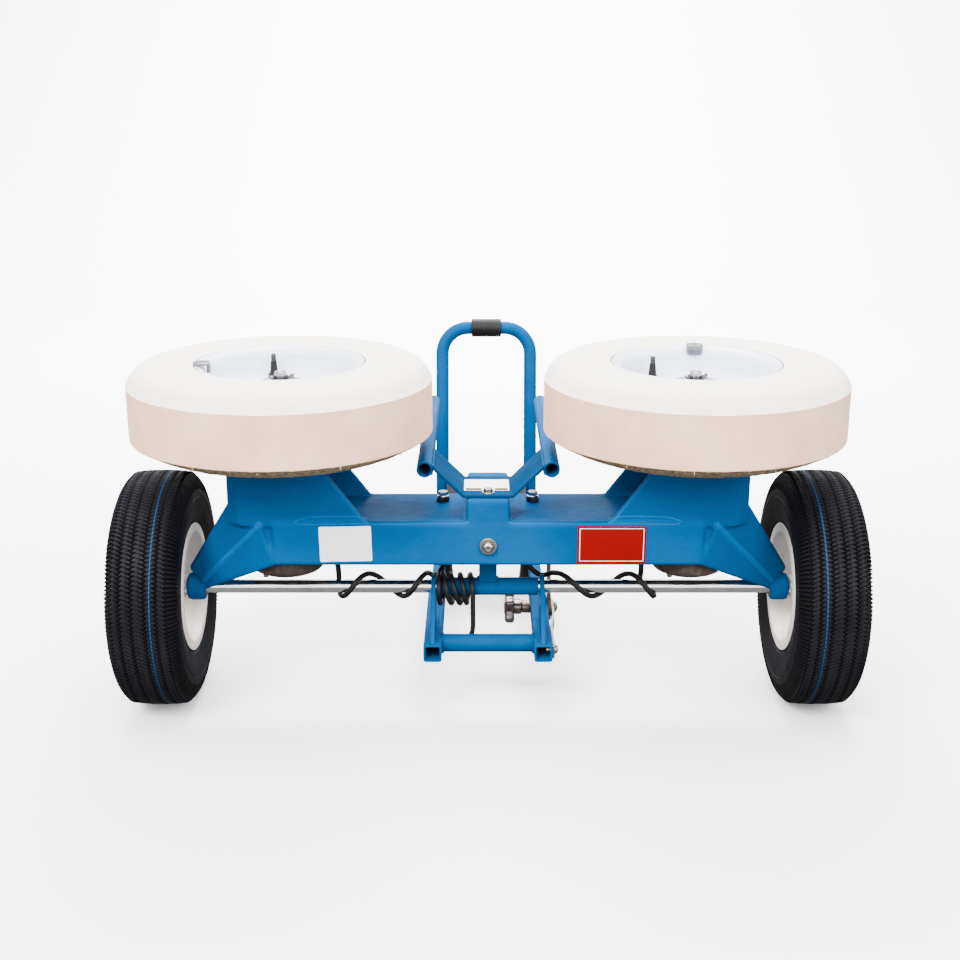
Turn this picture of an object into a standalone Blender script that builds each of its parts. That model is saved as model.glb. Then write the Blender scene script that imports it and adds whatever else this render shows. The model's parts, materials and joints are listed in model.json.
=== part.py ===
"""Soccer ball launcher: two air-filled tyres, laid flat and spun by upright motors, throw the ball.

The head (casting, motors, throwing wheels, ball chute) tilts on the transport axle and is locked by a
slotted quadrant and a clamp knob. The base is two square front rails with plates on the axle, and a rear
frame with the control box, handle and feet.

Metres, +Z up, +X to the right seen from the front, +Y to the back. Places below are given from the point
on the floor under the middle of the axle; the empty "launcher" then centres the model on its footprint.
"""

import math

import bmesh
import bpy
from mathutils import Vector

GAP = 0.0003            # clearance left between pieces that touch
WHEEL_STEPS = 28        # flats round a tyre and its rim: the same number, so that the gap holds all round

# Transport wheels and axle
WHEEL_R = 0.165         # 4.10/3.50-6 tyre
WHEEL_X = 0.457         # tyre centre from the middle
WHEEL_HALF_W = 0.0485
WHEEL_SHOULDER = 0.039  # half width of the tread
RIM_R = 0.090           # flange of the transport rim
RIM_HALF_W = 0.0434
RIM_BARREL_R = 0.064
RIM_WALL = 0.003
WHEEL_HUB_R = 0.0165
WHEEL_HUB_HALF = 0.029
AXLE_R = 0.009525
AXLE_Z = WHEEL_R
AXLE_PROUD = 0.014      # axle beyond the wheel's hub
AXLE_END = WHEEL_X + WHEEL_HUB_HALF + AXLE_PROUD
COLLAR_R = 0.0155       # washer that keeps each wheel on
COLLAR_T = 0.0025

# Throwing wheels
THROW_R = 0.204         # 4.80/4.00-8 tyre, ground flat
THROW_X = 0.2797
THROW_Y = -0.006
TREAD_HALF = 0.0345
CREST_R = 0.158
CREST_HALF = 0.060
BEAD_R = 0.1016
LIP_R = 0.1135
LIP_HALF = 0.058
THROW_BARREL_R = 0.088
TYRE_WALL = 0.010
DISC_TOP = 0.0225       # rim disc above the mid-plane
DISC_T = 0.003
SHAFT_R = 0.008
SHAFT_FLANGE_R = 0.026
SHAFT_FLANGE_T = 0.014
WASHER_R = 0.028
WASHER_T = 0.0025
NUT_R = 0.0135
NUT_H = 0.0135
SHAFT_PROUD = 0.006     # shaft above the nut
STEM_R = 0.0055
STEM_LEN = 0.030
STEM_SEAT = 0.0004
STEM_RING_R = 0.0755    # distance of the valve stem from the shaft
STEM_ANGLES = {"left": 105.0, "right": 133.0}
WEIGHT_ANGLES = {"left": 190.0, "right": 83.0}
WEIGHT_ARC = 13.0       # degrees of lip that a balance weight covers
WEIGHT_CLIP_T = 0.0032
WEIGHT_CLEAR = 0.0011   # body of the weight off the flat stretches of the flange
WEIGHT_BODY_T = 0.0055
WEIGHT_H = 0.015

# Head casting: its heights go up from the axle to the beam, the necks and the tyres over them
BEAM_FRONT = -0.070
BEAM_REAR = 0.066
BEAM_RISE = 0.056
BEAM_HEIGHT = 0.062
BEAM_Z0 = AXLE_Z + BEAM_RISE
BEAM_Z1 = BEAM_Z0 + BEAM_HEIGHT
BEAM_END = 0.292
BEAM_EDGE = 0.004
BLOCK_HALF = 0.029
BLOCK_HEIGHT = 0.033
BLOCK_TOP = BEAM_Z1 + BLOCK_HEIGHT
NECK_OUTER = 0.354
NECK_INNER_LOW = 0.160
NECK_INNER_TOP = 0.234
NECK_HEIGHT = 0.089
NECK_TOP = BEAM_Z1 + NECK_HEIGHT
NECK_FRONT = -0.066
NECK_REAR = 0.062
NECK_WALL = 0.012
NECK_CORNER = 0.018
HOUSING_R = 0.0585
BEARING_BOSS_R = 0.030
BEARING_BOSS_H = 0.036
BEARING_BOSS_TOP = NECK_TOP + BEARING_BOSS_H
TYRE_CLEAR = 0.0005     # neck to the throwing tyre above it
THROW_Z = NECK_TOP + TYRE_CLEAR + CREST_HALF    # mid-plane of the tyre
LEG_SHOULDER = 0.018
LEG_SHOULDER_Z = BEAM_Z1 + LEG_SHOULDER
LEG_INSET = 0.005       # how far each leg starts inside the beam's end
HUB_CLEAR = 0.004       # casting to the transport wheel's hub
BOSS_LENGTH = 0.026
BOSS_OUTER = WHEEL_X - WHEEL_HUB_HALF - HUB_CLEAR
BOSS_INNER = BOSS_OUTER - BOSS_LENGTH
BOSS_R = 0.0195
CAST_WALL = 0.008
RIB_T = 0.008
CAST_STEP = 0.0004      # limbs of the casting meet with a step this small, never flush
POST_HALF = 0.0125
POST_RISE = 0.050       # how far the post stands up inside the beam
SLEEVE_R = 0.0127
SLEEVE_X0 = -0.069
SLEEVE_X1 = 0.071
PIVOT_BOLT_RISE = 0.029
PIVOT_BOLT_Z = BEAM_Z0 + PIVOT_BOLT_RISE
PIVOT_BOLT_R = 0.00635
PIVOT_BOLT_TAIL = 0.014
PIVOT_HEAD_R = 0.0095
PIVOT_HEAD_H = 0.008
PIVOT_WASHER_R = 0.012
PIVOT_WASHER_T = 0.003
PIVOT_NUT_R = 0.0105
PIVOT_NUT_H = 0.010

# Motors and bearings
MOTOR_R = 0.050
MOTOR_ROOF = 0.0325     # casting over the motor
MOTOR_LENGTH = 0.1425
MOTOR_TOP = NECK_TOP - MOTOR_ROOF
MOTOR_BOTTOM = MOTOR_TOP - MOTOR_LENGTH
MOTOR_DOME = 0.011
BEARING_R = 0.0127
BEARING_T = 0.012

# Ball chute
CHUTE_X = 0.085
CHUTE_R = 0.0111
CHUTE_BORE_R = 0.0085
CHUTE_RISE = 0.039
CHUTE_Z = BLOCK_TOP + CHUTE_RISE
CHUTE_FRONT = -0.062
CHUTE_REAR = 0.320
YOKE_T = 0.004
YOKE_FLAT_HALF = 0.034
YOKE_FRONT = -0.065
YOKE_REAR = 0.025
YOKE_BOLT_Y = -0.054
YOKE_BOLT_R = 0.004
YOKE_BOLT_L = 0.016
YOKE_HEAD_R = 0.0065
YOKE_HEAD_H = 0.0053
YOKE_WASHER_R = 0.0085
YOKE_WASHER_T = 0.0015

# Base: front rails, axle plates, cross tube
RAIL_X = 0.0766
RAIL_DROP = 0.0704      # axle to the rails' middle line
RAIL_Z = AXLE_Z - RAIL_DROP
RAIL_SIDE = 0.0254
RAIL_OUT = RAIL_X + RAIL_SIDE / 2
RAIL_WALL = 0.0028
RAIL_CORNER = 0.004
RAIL_FRONT = -0.076
RAIL_REAR = 0.180
PLATE_T = 0.0064
PLATE_FRONT = -0.074
PLATE_TOP_R = 0.017
CROSS_Y = -0.038
CROSS_R = 0.0127
CROSS_WALL = 0.0025
LOCK_Y = 0.150
LOCK_R = 0.0035
LOCK_HEAD_R = 0.0062
LOCK_HEAD_H = 0.005
LOCK_WASHER_R = 0.0075
LOCK_WASHER_T = 0.0012

# Tilt quadrant and clamp
TILT_MAX = 35.0
CLAMP_Y = 0.095
QUAD_X = RAIL_OUT + GAP
QUAD_T = 0.005
QUAD_BAND = 0.016       # half width of the slotted band
CLAMP_R = 0.00476
STRAP_T = 0.003
STRAP_HALF = 0.009
STRAP_X = QUAD_X + QUAD_T + GAP
STRAP_BOLT_Y = -0.060
STRAP_BOLT_R = 0.004
HEAD_X = STRAP_X + STRAP_T + GAP
KNOB_R = 0.027
KNOB_LOBE = 0.0045
KNOB_X0 = 0.026
KNOB_T = 0.014
KNOB_HUB_R = 0.011
KNOB_HUB_L = 0.0113
BOSS_NUT_R = 0.0092

# Rear frame
REAR_RAIL_SIDE = 0.01905
REAR_RAIL_WALL = 0.002
REAR_RAIL_FRONT = 0.112
POST_TUBE_R = 0.0111
POST_TUBE_WALL = 0.0016
POST_LEAN = 13.6        # degrees back from upright
POST_Y = 0.478          # where the post's middle crosses the rail's middle
HANDLE_Z = 0.430
HANDLE_BEND = 0.045
GRIP_R = 0.016
GRIP_HALF = 0.026
FOOT_R = 0.019
FOOT_TOP_R = 0.0165
FOOT_H = 0.034
FOOT_SOLE = 0.012

# Control box, square to the leaning posts
BOX_BACK = -POST_TUBE_R - GAP                   # its rear rim, measured from the posts' middle
BOX_HALF_X = 0.067
BOX_HALF_H = 0.052
BOX_DEPTH = 0.074
BOX_WALL = 0.003
BOX_Z = 0.124           # height of the box's middle
PANEL_HALF_X = 0.0645
PANEL_T = 0.003
PANEL_FACE = BOX_BACK + GAP + PANEL_T
DIAL_R = 0.017
DIAL_L = 0.018
DIAL_X = 0.034
DIAL_UP = 0.014
DIAL_CLEAR = 0.0014
SWITCH_W = 0.014
SWITCH_H = 0.024
SWITCH_UP = -0.024
SWITCH_X = -0.030
INLET_W = 0.036
INLET_X = 0.022
MODULE_RIM = 0.004
MODULE_HALF_H = 0.016
MODULE_T = 0.008
GLAND_AT = (-0.045, BOX_BACK - BOX_DEPTH - GAP, -0.030)

# Leads
LEAD_R = 0.00325
WRAP_R = 0.0158         # middle line of the lead wound on the axle
COIL_R = 0.0205         # middle line of the loose turns on the sleeve
COIL_TURNS = 5
COIL_PITCH = 0.012
COIL_FIRST_X = -0.069
COIL_POINTS = 24
LEAD_EXIT_Z = MOTOR_BOTTOM + 0.0115
JOINT_AT = Vector((-0.050, 0.038, BEAM_Z0 - 0.0085))
JOINT_HALF = (0.013, 0.009, 0.007)
WRAP_TURNS = (0.25, 0.5, 1.0, 1.5, 2.0, 2.25)
WRAP_X = {"left": (0.212, 0.208, 0.1725, 0.1235, 0.089, 0.076),
          "right": (0.2174, 0.236, 0.204, 0.154, 0.1037, 0.078)}

FRONT_EDGE = THROW_Y - THROW_R
BACK_EDGE = POST_Y + (HANDLE_Z - RAIL_Z) * math.tan(math.radians(POST_LEAN)) + GRIP_R
CENTRE_Y = (FRONT_EDGE + BACK_EDGE) / 2

SIDES = {"left": -1, "right": 1}

for old in list(bpy.data.objects):
    bpy.data.objects.remove(old, do_unlink=True)

PARTS = bpy.data.collections.new("soccer_ball_launcher")
CUTTERS = bpy.data.collections.new("cutters")
bpy.context.scene.collection.children.link(PARTS)
bpy.context.scene.collection.children.link(CUTTERS)


def material(name, colour, roughness, metallic=0.0):
    made = bpy.data.materials.new(name)
    made.use_nodes = True
    shader = made.node_tree.nodes["Principled BSDF"]
    shader.inputs["Base Color"].default_value = (*colour, 1.0)
    shader.inputs["Roughness"].default_value = roughness
    shader.inputs["Metallic"].default_value = metallic
    return made


BLUE = material("blue_paint", (0.0, 0.23, 0.56), 0.4)
CREAM = material("cream_rubber", (0.80, 0.70, 0.60), 0.85)
WHITE = material("white_paint", (0.80, 0.81, 0.83), 0.35)
RIM_BEIGE = material("beige_paint", (0.72, 0.66, 0.60), 0.4)
BLACK = material("black_rubber", (0.02, 0.02, 0.022), 0.7)
STEEL = material("bright_steel", (0.55, 0.55, 0.56), 0.3, 1.0)
ZINC = material("zinc_plate", (0.62, 0.60, 0.55), 0.35, 1.0)
BARE = material("bare_steel", (0.28, 0.20, 0.15), 0.5, 0.8)
MOTOR_GREY = material("motor_paint", (0.27, 0.22, 0.19), 0.5, 0.3)
BOX_GREY = material("dark_grey_paint", (0.05, 0.05, 0.055), 0.5)
PLASTIC = material("black_plastic", (0.015, 0.015, 0.015), 0.4)
LEAD = material("grey_lead", (0.30, 0.30, 0.31), 0.6, 0.5)


# Empties on the joints' axes carry the pieces that move

HOME = {}


def empty(name, at, parent=None):
    made = bpy.data.objects.new(name, None)
    bpy.context.scene.collection.objects.link(made)
    made.parent = parent
    made.location = Vector(at) - (HOME[parent.name] if parent else Vector())
    HOME[name] = Vector(at)
    return made


def on_posts(x, back, up):
    """A point given from the middle of the leaning posts at the box's height: across, back and along them."""
    lean = math.radians(POST_LEAN)
    y = POST_Y + (BOX_Z - RAIL_Z) * math.tan(lean)
    return (x,
            y + back * math.cos(lean) + up * math.sin(lean),
            BOX_Z - back * math.sin(lean) + up * math.cos(lean))


LAUNCHER = empty("launcher", (0, 0, 0))
HEAD = empty("head_pivot", (0, 0, AXLE_Z), LAUNCHER)
THROW = {s: empty(f"throw_axis_{s}", (d * THROW_X, THROW_Y, THROW_Z), HEAD) for s, d in SIDES.items()}
WHEEL = {s: empty(f"wheel_axis_{s}", (d * WHEEL_X, 0, AXLE_Z), LAUNCHER) for s, d in SIDES.items()}
CLAMP = empty("clamp_axis", (KNOB_X0, CLAMP_Y, RAIL_Z), LAUNCHER)
DIAL = {s: empty(f"dial_axis_{s}", on_posts(d * DIAL_X, PANEL_FACE, DIAL_UP), LAUNCHER)
        for s, d in SIDES.items()}
ROCKER = empty("rocker_axis", on_posts(SWITCH_X, PANEL_FACE + MODULE_T, SWITCH_UP), LAUNCHER)


# Shape helpers

def finish(obj, parent, mat, collection=PARTS, at=(0, 0, 0), turn=(0, 0, 0)):
    """Put an object on its empty; its place is still given from the floor under the axle's middle."""
    collection.objects.link(obj)
    obj.parent = parent
    obj.location = Vector(at) - HOME[parent.name]
    obj.rotation_euler = turn
    if mat is not None:
        obj.data.materials.append(mat)
    if collection is CUTTERS:
        obj.hide_render = True
        obj.display_type = "WIRE"
    return obj


def smooth(obj, angle=35.0):
    obj.data.shade_smooth()
    obj.data.set_sharp_from_angle(angle=math.radians(angle))


def from_bmesh(name, bm):
    bmesh.ops.recalc_face_normals(bm, faces=bm.faces)
    mesh = bpy.data.meshes.new(name)
    bm.to_mesh(mesh)
    bm.free()
    return bpy.data.objects.new(name, mesh)


def bevelled(obj, width, segments=2, angle=40.0):
    mod = obj.modifiers.new("edges", "BEVEL")
    mod.width = width
    mod.segments = segments
    mod.limit_method = "ANGLE"
    mod.angle_limit = math.radians(angle)
    return obj


def box_between(name, low, high, parent, mat=None, collection=PARTS, edge=0.0, at=(0, 0, 0), turn=(0, 0, 0)):
    bm = bmesh.new()
    bmesh.ops.create_cube(bm, size=1.0)
    size = Vector(high) - Vector(low)
    bmesh.ops.scale(bm, vec=size, verts=bm.verts)
    bmesh.ops.translate(bm, vec=(Vector(high) + Vector(low)) / 2, verts=bm.verts)
    obj = finish(from_bmesh(name, bm), parent, mat, collection, at, turn)
    if edge:
        bevelled(obj, edge)
    return obj


AXIS_TURN = {"x": (0, math.radians(90), 0), "y": (math.radians(-90), 0, 0), "z": (0, 0, 0)}


def rod(name, start, axis, length, radius, parent, mat=None, collection=PARTS, sides=24, radius_end=None,
        turn=None):
    """A cylinder or cone from start along +x, +y or +z, or along the local Z of an explicit turn."""
    bm = bmesh.new()
    bmesh.ops.create_cone(bm, cap_ends=True, cap_tris=False, segments=sides, radius1=radius,
                          radius2=radius if radius_end is None else radius_end, depth=length)
    bmesh.ops.translate(bm, vec=(0, 0, length / 2), verts=bm.verts)
    obj = finish(from_bmesh(name, bm), parent, mat, collection, start, turn or AXIS_TURN[axis])
    smooth(obj)
    return obj


def turned(name, profile, at, parent, mat, steps=40, axis="z", turn=None, closed=False):
    """A turned piece: profile points (radius, height) run down the outer side; closed profiles are rings."""
    mesh = bpy.data.meshes.new(name)
    count = len(profile)
    edges = [(i, i + 1) for i in range(count - 1)]
    if closed:
        edges.append((count - 1, 0))
    mesh.from_pydata([(r, 0.0, z) for r, z in profile], edges, [])
    obj = finish(bpy.data.objects.new(name, mesh), parent, mat, PARTS, at, turn or AXIS_TURN[axis])
    screw = obj.modifiers.new("turn", "SCREW")
    screw.steps = steps
    screw.render_steps = steps
    screw.use_merge_vertices = True
    screw.merge_threshold = 0.00001
    screw.use_smooth_shade = True
    return obj


def outline_solid(name, points, thickness, at, parent, mat=None, collection=PARTS, plane="xz"):
    """A flat outline given a thickness. In plane xz it grows along +Y, in yz along +X, in xy along +Z."""
    curve = bpy.data.curves.new(name, "CURVE")
    curve.dimensions = "2D"
    curve.fill_mode = "BOTH"
    curve.extrude = thickness / 2
    spline = curve.splines.new("POLY")
    spline.points.add(len(points) - 1)
    for point, (u, v) in zip(spline.points, points):
        point.co = (u, v, 0.0, 1.0)
    spline.use_cyclic_u = True
    turn = {"xz": (math.radians(90), 0, 0),
            "yz": (math.radians(90), 0, math.radians(90)),
            "xy": (0, 0, 0)}[plane]
    offset = {"xz": (0, thickness / 2, 0), "yz": (thickness / 2, 0, 0), "xy": (0, 0, thickness / 2)}[plane]
    return finish(bpy.data.objects.new(name, curve), parent, mat, collection, Vector(at) + Vector(offset),
                  turn)


def meshed(obj):
    """The mesh that a curve object makes, welded, in an object of the same name and place."""
    bpy.context.view_layer.update()
    graph = bpy.context.evaluated_depsgraph_get()
    mesh = bpy.data.meshes.new_from_object(obj.evaluated_get(graph))
    bm = bmesh.new()
    bm.from_mesh(mesh)
    bmesh.ops.remove_doubles(bm, verts=bm.verts, dist=0.00001)
    bmesh.ops.recalc_face_normals(bm, faces=bm.faces)
    bm.to_mesh(mesh)
    bm.free()
    name = obj.name
    collection = obj.users_collection[0]
    parent = obj.parent
    local = obj.matrix_local.copy()
    bpy.data.objects.remove(obj, do_unlink=True)
    new = bpy.data.objects.new(name, mesh)
    collection.objects.link(new)
    new.parent = parent
    new.matrix_local = local
    if collection is CUTTERS:
        new.hide_render = True
        new.display_type = "WIRE"
    return new


def boolean(target, other, operation):
    mod = target.modifiers.new(f"{operation.lower()}_{other.name}", "BOOLEAN")
    mod.operation = operation
    mod.object = other
    return target


def cut(target, *others):
    for other in others:
        boolean(target, other, "DIFFERENCE")
    return target


def join(target, *others):
    for other in others:
        boolean(target, other, "UNION")
    return target


def hull(name, points, parent, mat=None, collection=PARTS):
    """The closed convex shape through a handful of corners, for tapered cast limbs."""
    bm = bmesh.new()
    for point in points:
        bm.verts.new(point)
    result = bmesh.ops.convex_hull(bm, input=bm.verts)
    bmesh.ops.delete(bm, geom=[g for g in result["geom_interior"] if isinstance(g, bmesh.types.BMVert)],
                     context="VERTS")
    bmesh.ops.dissolve_limit(bm, angle_limit=0.01, verts=bm.verts, edges=bm.edges)
    return finish(from_bmesh(name, bm), parent, mat, collection)


def arc(centre, radius, start, end, steps):
    """Points on a circle from one angle to another, in degrees."""
    return [(centre[0] + radius * math.cos(math.radians(start + (end - start) * i / steps)),
             centre[1] + radius * math.sin(math.radians(start + (end - start) * i / steps)))
            for i in range(steps + 1)]


def tube_along(name, points, radius, parent, mat=None, collection=PARTS, resolution=2):
    curve = bpy.data.curves.new(name, "CURVE")
    curve.dimensions = "3D"
    curve.bevel_depth = radius
    curve.bevel_resolution = resolution
    curve.use_fill_caps = True
    spline = curve.splines.new("POLY")
    spline.points.add(len(points) - 1)
    for point, co in zip(spline.points, points):
        point.co = (*co, 1.0)
    return finish(bpy.data.objects.new(name, curve), parent, mat, collection)


def smooth_curve(points, step):
    """Points about one step apart on a Catmull-Rom curve through the route's points."""
    pts = [Vector(p) for p in points]
    pts = [pts[0] * 2 - pts[1]] + pts + [pts[-1] * 2 - pts[-2]]
    out = []
    for i in range(1, len(pts) - 2):
        p0, p1, p2, p3 = pts[i - 1:i + 3]
        count = max(1, round((p2 - p1).length / step))
        for k in range(count):
            t = k / count
            out.append(0.5 * ((2 * p1) + (p2 - p0) * t + (2 * p0 - 5 * p1 + 4 * p2 - p3) * t * t
                              + (3 * p1 - p0 - 3 * p2 + p3) * t * t * t))
    out.append(pts[-2])
    return out


def filleted(corners, radius, steps=6):
    """A path through corners whose bends are arcs of one radius."""
    corners = [Vector(c) for c in corners]
    path = [corners[0]]
    for before, corner, after in zip(corners, corners[1:], corners[2:]):
        a = (before - corner).normalized()
        b = (after - corner).normalized()
        half = a.angle(b) / 2
        reach = radius / math.tan(half)
        middle = corner + (a + b).normalized() * (radius / math.sin(half))
        start = (corner + a * reach - middle).normalized()
        end = (corner + b * reach - middle).normalized()
        for i in range(steps + 1):
            path.append(middle + radius * start.slerp(end, i / steps))
    path.append(corners[-1])
    return path


# Head casting

def make_casting():
    """The left half is modelled with its bores, then mirrored across the middle."""
    beam = box_between("head_casting", (-BEAM_END, BEAM_FRONT, BEAM_Z0), (BEAM_END, BEAM_REAR, BEAM_Z1),
                       HEAD, BLUE, edge=BEAM_EDGE)
    block = box_between("centre_block", (-BLOCK_HALF, BEAM_FRONT + CAST_STEP, BEAM_Z0 + BEAM_EDGE),
                        (BLOCK_HALF, BEAM_REAR - BEAM_EDGE, BLOCK_TOP), HEAD, None, CUTTERS, edge=BEAM_EDGE)
    low = BEAM_Z1 - 2 * BEAM_EDGE
    corners = []
    for z, inner in ((low, NECK_INNER_LOW), (NECK_TOP, NECK_INNER_TOP)):
        corners += [(-inner, NECK_FRONT, z), (-inner, NECK_REAR, z),
                    (NECK_CORNER - NECK_OUTER, NECK_FRONT, z), (-NECK_OUTER, NECK_FRONT + NECK_CORNER, z),
                    (-NECK_OUTER, NECK_REAR - NECK_CORNER, z), (NECK_CORNER - NECK_OUTER, NECK_REAR, z)]
    neck = hull("neck", corners, HEAD, None, CUTTERS)
    bevelled(neck, 0.002, 1)
    cut(neck, box_between("neck_hollow", (-THROW_X - 0.004, NECK_FRONT + NECK_WALL, BEAM_Z1 + CAST_STEP),
                          (0.01 - NECK_INNER_LOW, NECK_REAR - NECK_WALL, NECK_TOP + 0.01), HEAD, None,
                          CUTTERS))
    housing = rod("motor_housing", (-THROW_X, THROW_Y, BEAM_Z0 + CAST_WALL), "z",
                  NECK_TOP - BEAM_Z0 - CAST_WALL, HOUSING_R, HEAD, None, CUTTERS, 24)
    boss = rod("bearing_boss", (-THROW_X, THROW_Y, NECK_TOP - 0.01), "z", BEARING_BOSS_TOP - NECK_TOP + 0.01,
               BEARING_BOSS_R + 0.006, HEAD, None, CUTTERS, 24, BEARING_BOSS_R)
    leg_in = BEAM_END - LEG_INSET
    front = BEAM_FRONT + CAST_STEP
    rear = BEAM_REAR - CAST_STEP
    leg = hull("leg", [
        (-leg_in, front, BEAM_Z0 + CAST_STEP), (-leg_in - 0.020, front, BEAM_Z1 - 0.002),
        (-NECK_OUTER, NECK_FRONT + NECK_CORNER, LEG_SHOULDER_Z),
        (-NECK_OUTER, NECK_REAR - NECK_CORNER, LEG_SHOULDER_Z),
        (-leg_in - 0.020, rear, BEAM_Z1 - 0.002), (-leg_in, rear, BEAM_Z0 + CAST_STEP),
        (-BOSS_INNER, -BOSS_R * 0.9, AXLE_Z), (-BOSS_INNER - 0.004, -BOSS_R * 0.85, AXLE_Z + 0.014),
        (0.004 - BOSS_OUTER, -0.009, AXLE_Z + 0.030), (0.004 - BOSS_OUTER, 0.009, AXLE_Z + 0.030),
        (-BOSS_INNER - 0.004, BOSS_R * 0.85, AXLE_Z + 0.014), (-BOSS_INNER, BOSS_R * 0.9, AXLE_Z)],
        HEAD, None, CUTTERS)
    bevelled(leg, 0.003, 1, 25.0)
    eye = rod("axle_boss", (-BOSS_OUTER, 0, AXLE_Z), "x", BOSS_OUTER - BOSS_INNER, BOSS_R, HEAD, None,
              CUTTERS, 20)
    bevelled(eye, 0.003, 1)
    join(beam, block, neck, housing, boss, leg, eye)
    past = BEAM_HEIGHT                           # how far each bore's cutter reaches past the metal
    motor_bore = rod("motor_bore", (-THROW_X, THROW_Y, BEAM_Z0 - past), "z",
                     MOTOR_TOP + GAP - BEAM_Z0 + past, MOTOR_R + 0.0015, HEAD, None, CUTTERS, 24)
    shaft_bore = rod("shaft_bore", (-THROW_X, THROW_Y, MOTOR_TOP - CAST_WALL), "z",
                     BEARING_BOSS_TOP - MOTOR_TOP + past, BEARING_R + GAP, HEAD, None, CUTTERS, 24)
    axle_bore = rod("axle_bore", (-BOSS_OUTER - BOSS_LENGTH, 0, AXLE_Z), "x", 3.5 * BOSS_LENGTH,
                    AXLE_R + GAP, HEAD, None, CUTTERS, 20)
    cut(beam, motor_bore, shaft_bore, axle_bore)
    first = BLOCK_HALF + CAST_WALL
    last = THROW_X - MOTOR_R - CAST_WALL - 0.006
    cell = (last - first - RIB_T) / 2
    for number, start in enumerate((first, first + cell + RIB_T)):
        cut(beam, box_between(f"beam_cell_{number}", (-start - cell, BEAM_FRONT + CAST_WALL, BEAM_Z0 - 0.01),
                              (-start, BEAM_REAR - CAST_WALL, BEAM_Z1 - CAST_WALL), HEAD, None, CUTTERS))
    slot = box_between("post_slot", (-POST_HALF - GAP, -POST_HALF - GAP, BEAM_Z0 - 0.01),
                       (POST_HALF + GAP, POST_HALF + GAP, BEAM_Z0 + POST_RISE + GAP), HEAD, None, CUTTERS)
    bolt_bore = rod("pivot_bolt_bore", (0, BEAM_FRONT - 0.01, PIVOT_BOLT_Z), "y",
                    BEAM_REAR - BEAM_FRONT + 0.02, PIVOT_BOLT_R + GAP, HEAD, None, CUTTERS, 20)
    yoke_bore = rod("yoke_bolt_bore", (0, YOKE_BOLT_Y, BLOCK_TOP - 0.018), "z", 0.04, YOKE_BOLT_R + GAP,
                    HEAD, None, CUTTERS, 16)
    cut(beam, slot, bolt_bore, yoke_bore)
    halves = beam.modifiers.new("mirror", "MIRROR")
    halves.use_axis = (True, False, False)
    halves.use_bisect_axis = (True, False, False)
    halves.use_bisect_flip_axis = (True, False, False)
    halves.use_mirror_merge = True
    halves.merge_threshold = 0.00005
    return beam


def hex_bolt(name, seat, axis_turn, shank_r, shank_l, head_r, head_h, washer_r, washer_t, parent, mat):
    """A hexagon head with its washer on a shank that runs down from the seat."""
    profile = [(0.0, washer_t), (washer_r, washer_t), (washer_r, GAP), (shank_r, GAP),
               (shank_r, -shank_l), (0.0, -shank_l)]
    obj = turned(name, profile, seat, parent, mat, 16, turn=axis_turn)
    head = rod(f"{name}_head", seat, "z", head_h + washer_t, head_r, parent, None, CUTTERS, 6,
               turn=axis_turn)
    bevelled(head, head_h * 0.12, 1, 60.0)
    return join(obj, head)


def make_pivot():
    """The sleeve on the axle, the post that stands on it, and the bolt through the beam and post."""
    sleeve = rod("pivot_sleeve", (SLEEVE_X0, 0, AXLE_Z), "x", SLEEVE_X1 - SLEEVE_X0, SLEEVE_R, HEAD, BLUE,
                 PARTS, 20)
    post = box_between("post", (-POST_HALF, -POST_HALF, AXLE_Z), (POST_HALF, POST_HALF, BEAM_Z0 + POST_RISE),
                       HEAD, None, CUTTERS, edge=0.0015)
    bore = rod("sleeve_bore", (SLEEVE_X0 - 0.01, 0, AXLE_Z), "x", SLEEVE_X1 - SLEEVE_X0 + 0.02, AXLE_R + GAP,
               HEAD, None, CUTTERS, 20)
    bolt_hole = rod("post_bolt_hole", (0, -2 * POST_HALF, PIVOT_BOLT_Z), "y", 4 * POST_HALF,
                    PIVOT_BOLT_R + GAP, HEAD, None, CUTTERS, 20)
    cut(join(sleeve, post), bore, bolt_hole)
    axle = rod("axle", (-AXLE_END, 0, AXLE_Z), "x", 2 * AXLE_END, AXLE_R, HEAD, STEEL, PARTS, 20)
    collar_in = WHEEL_X + WHEEL_HUB_HALF + GAP
    for side, d in SIDES.items():
        join(axle, rod(f"axle_collar_{side}", (min(d * collar_in, d * (collar_in + COLLAR_T)), 0, AXLE_Z),
                       "x", COLLAR_T, COLLAR_R, HEAD, None, CUTTERS, 20))
    bolt = hex_bolt("pivot_bolt", (0, BEAM_FRONT - GAP, PIVOT_BOLT_Z), (math.radians(90), 0, 0),
                    PIVOT_BOLT_R, BEAM_REAR - BEAM_FRONT + PIVOT_BOLT_TAIL, PIVOT_HEAD_R, PIVOT_HEAD_H,
                    PIVOT_WASHER_R, PIVOT_WASHER_T, HEAD, ZINC)
    nut = rod("pivot_nut", (0, BEAM_REAR + GAP, PIVOT_BOLT_Z), "y", PIVOT_NUT_H, PIVOT_NUT_R, HEAD, None,
              CUTTERS, 6)
    join(bolt, nut)


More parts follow.
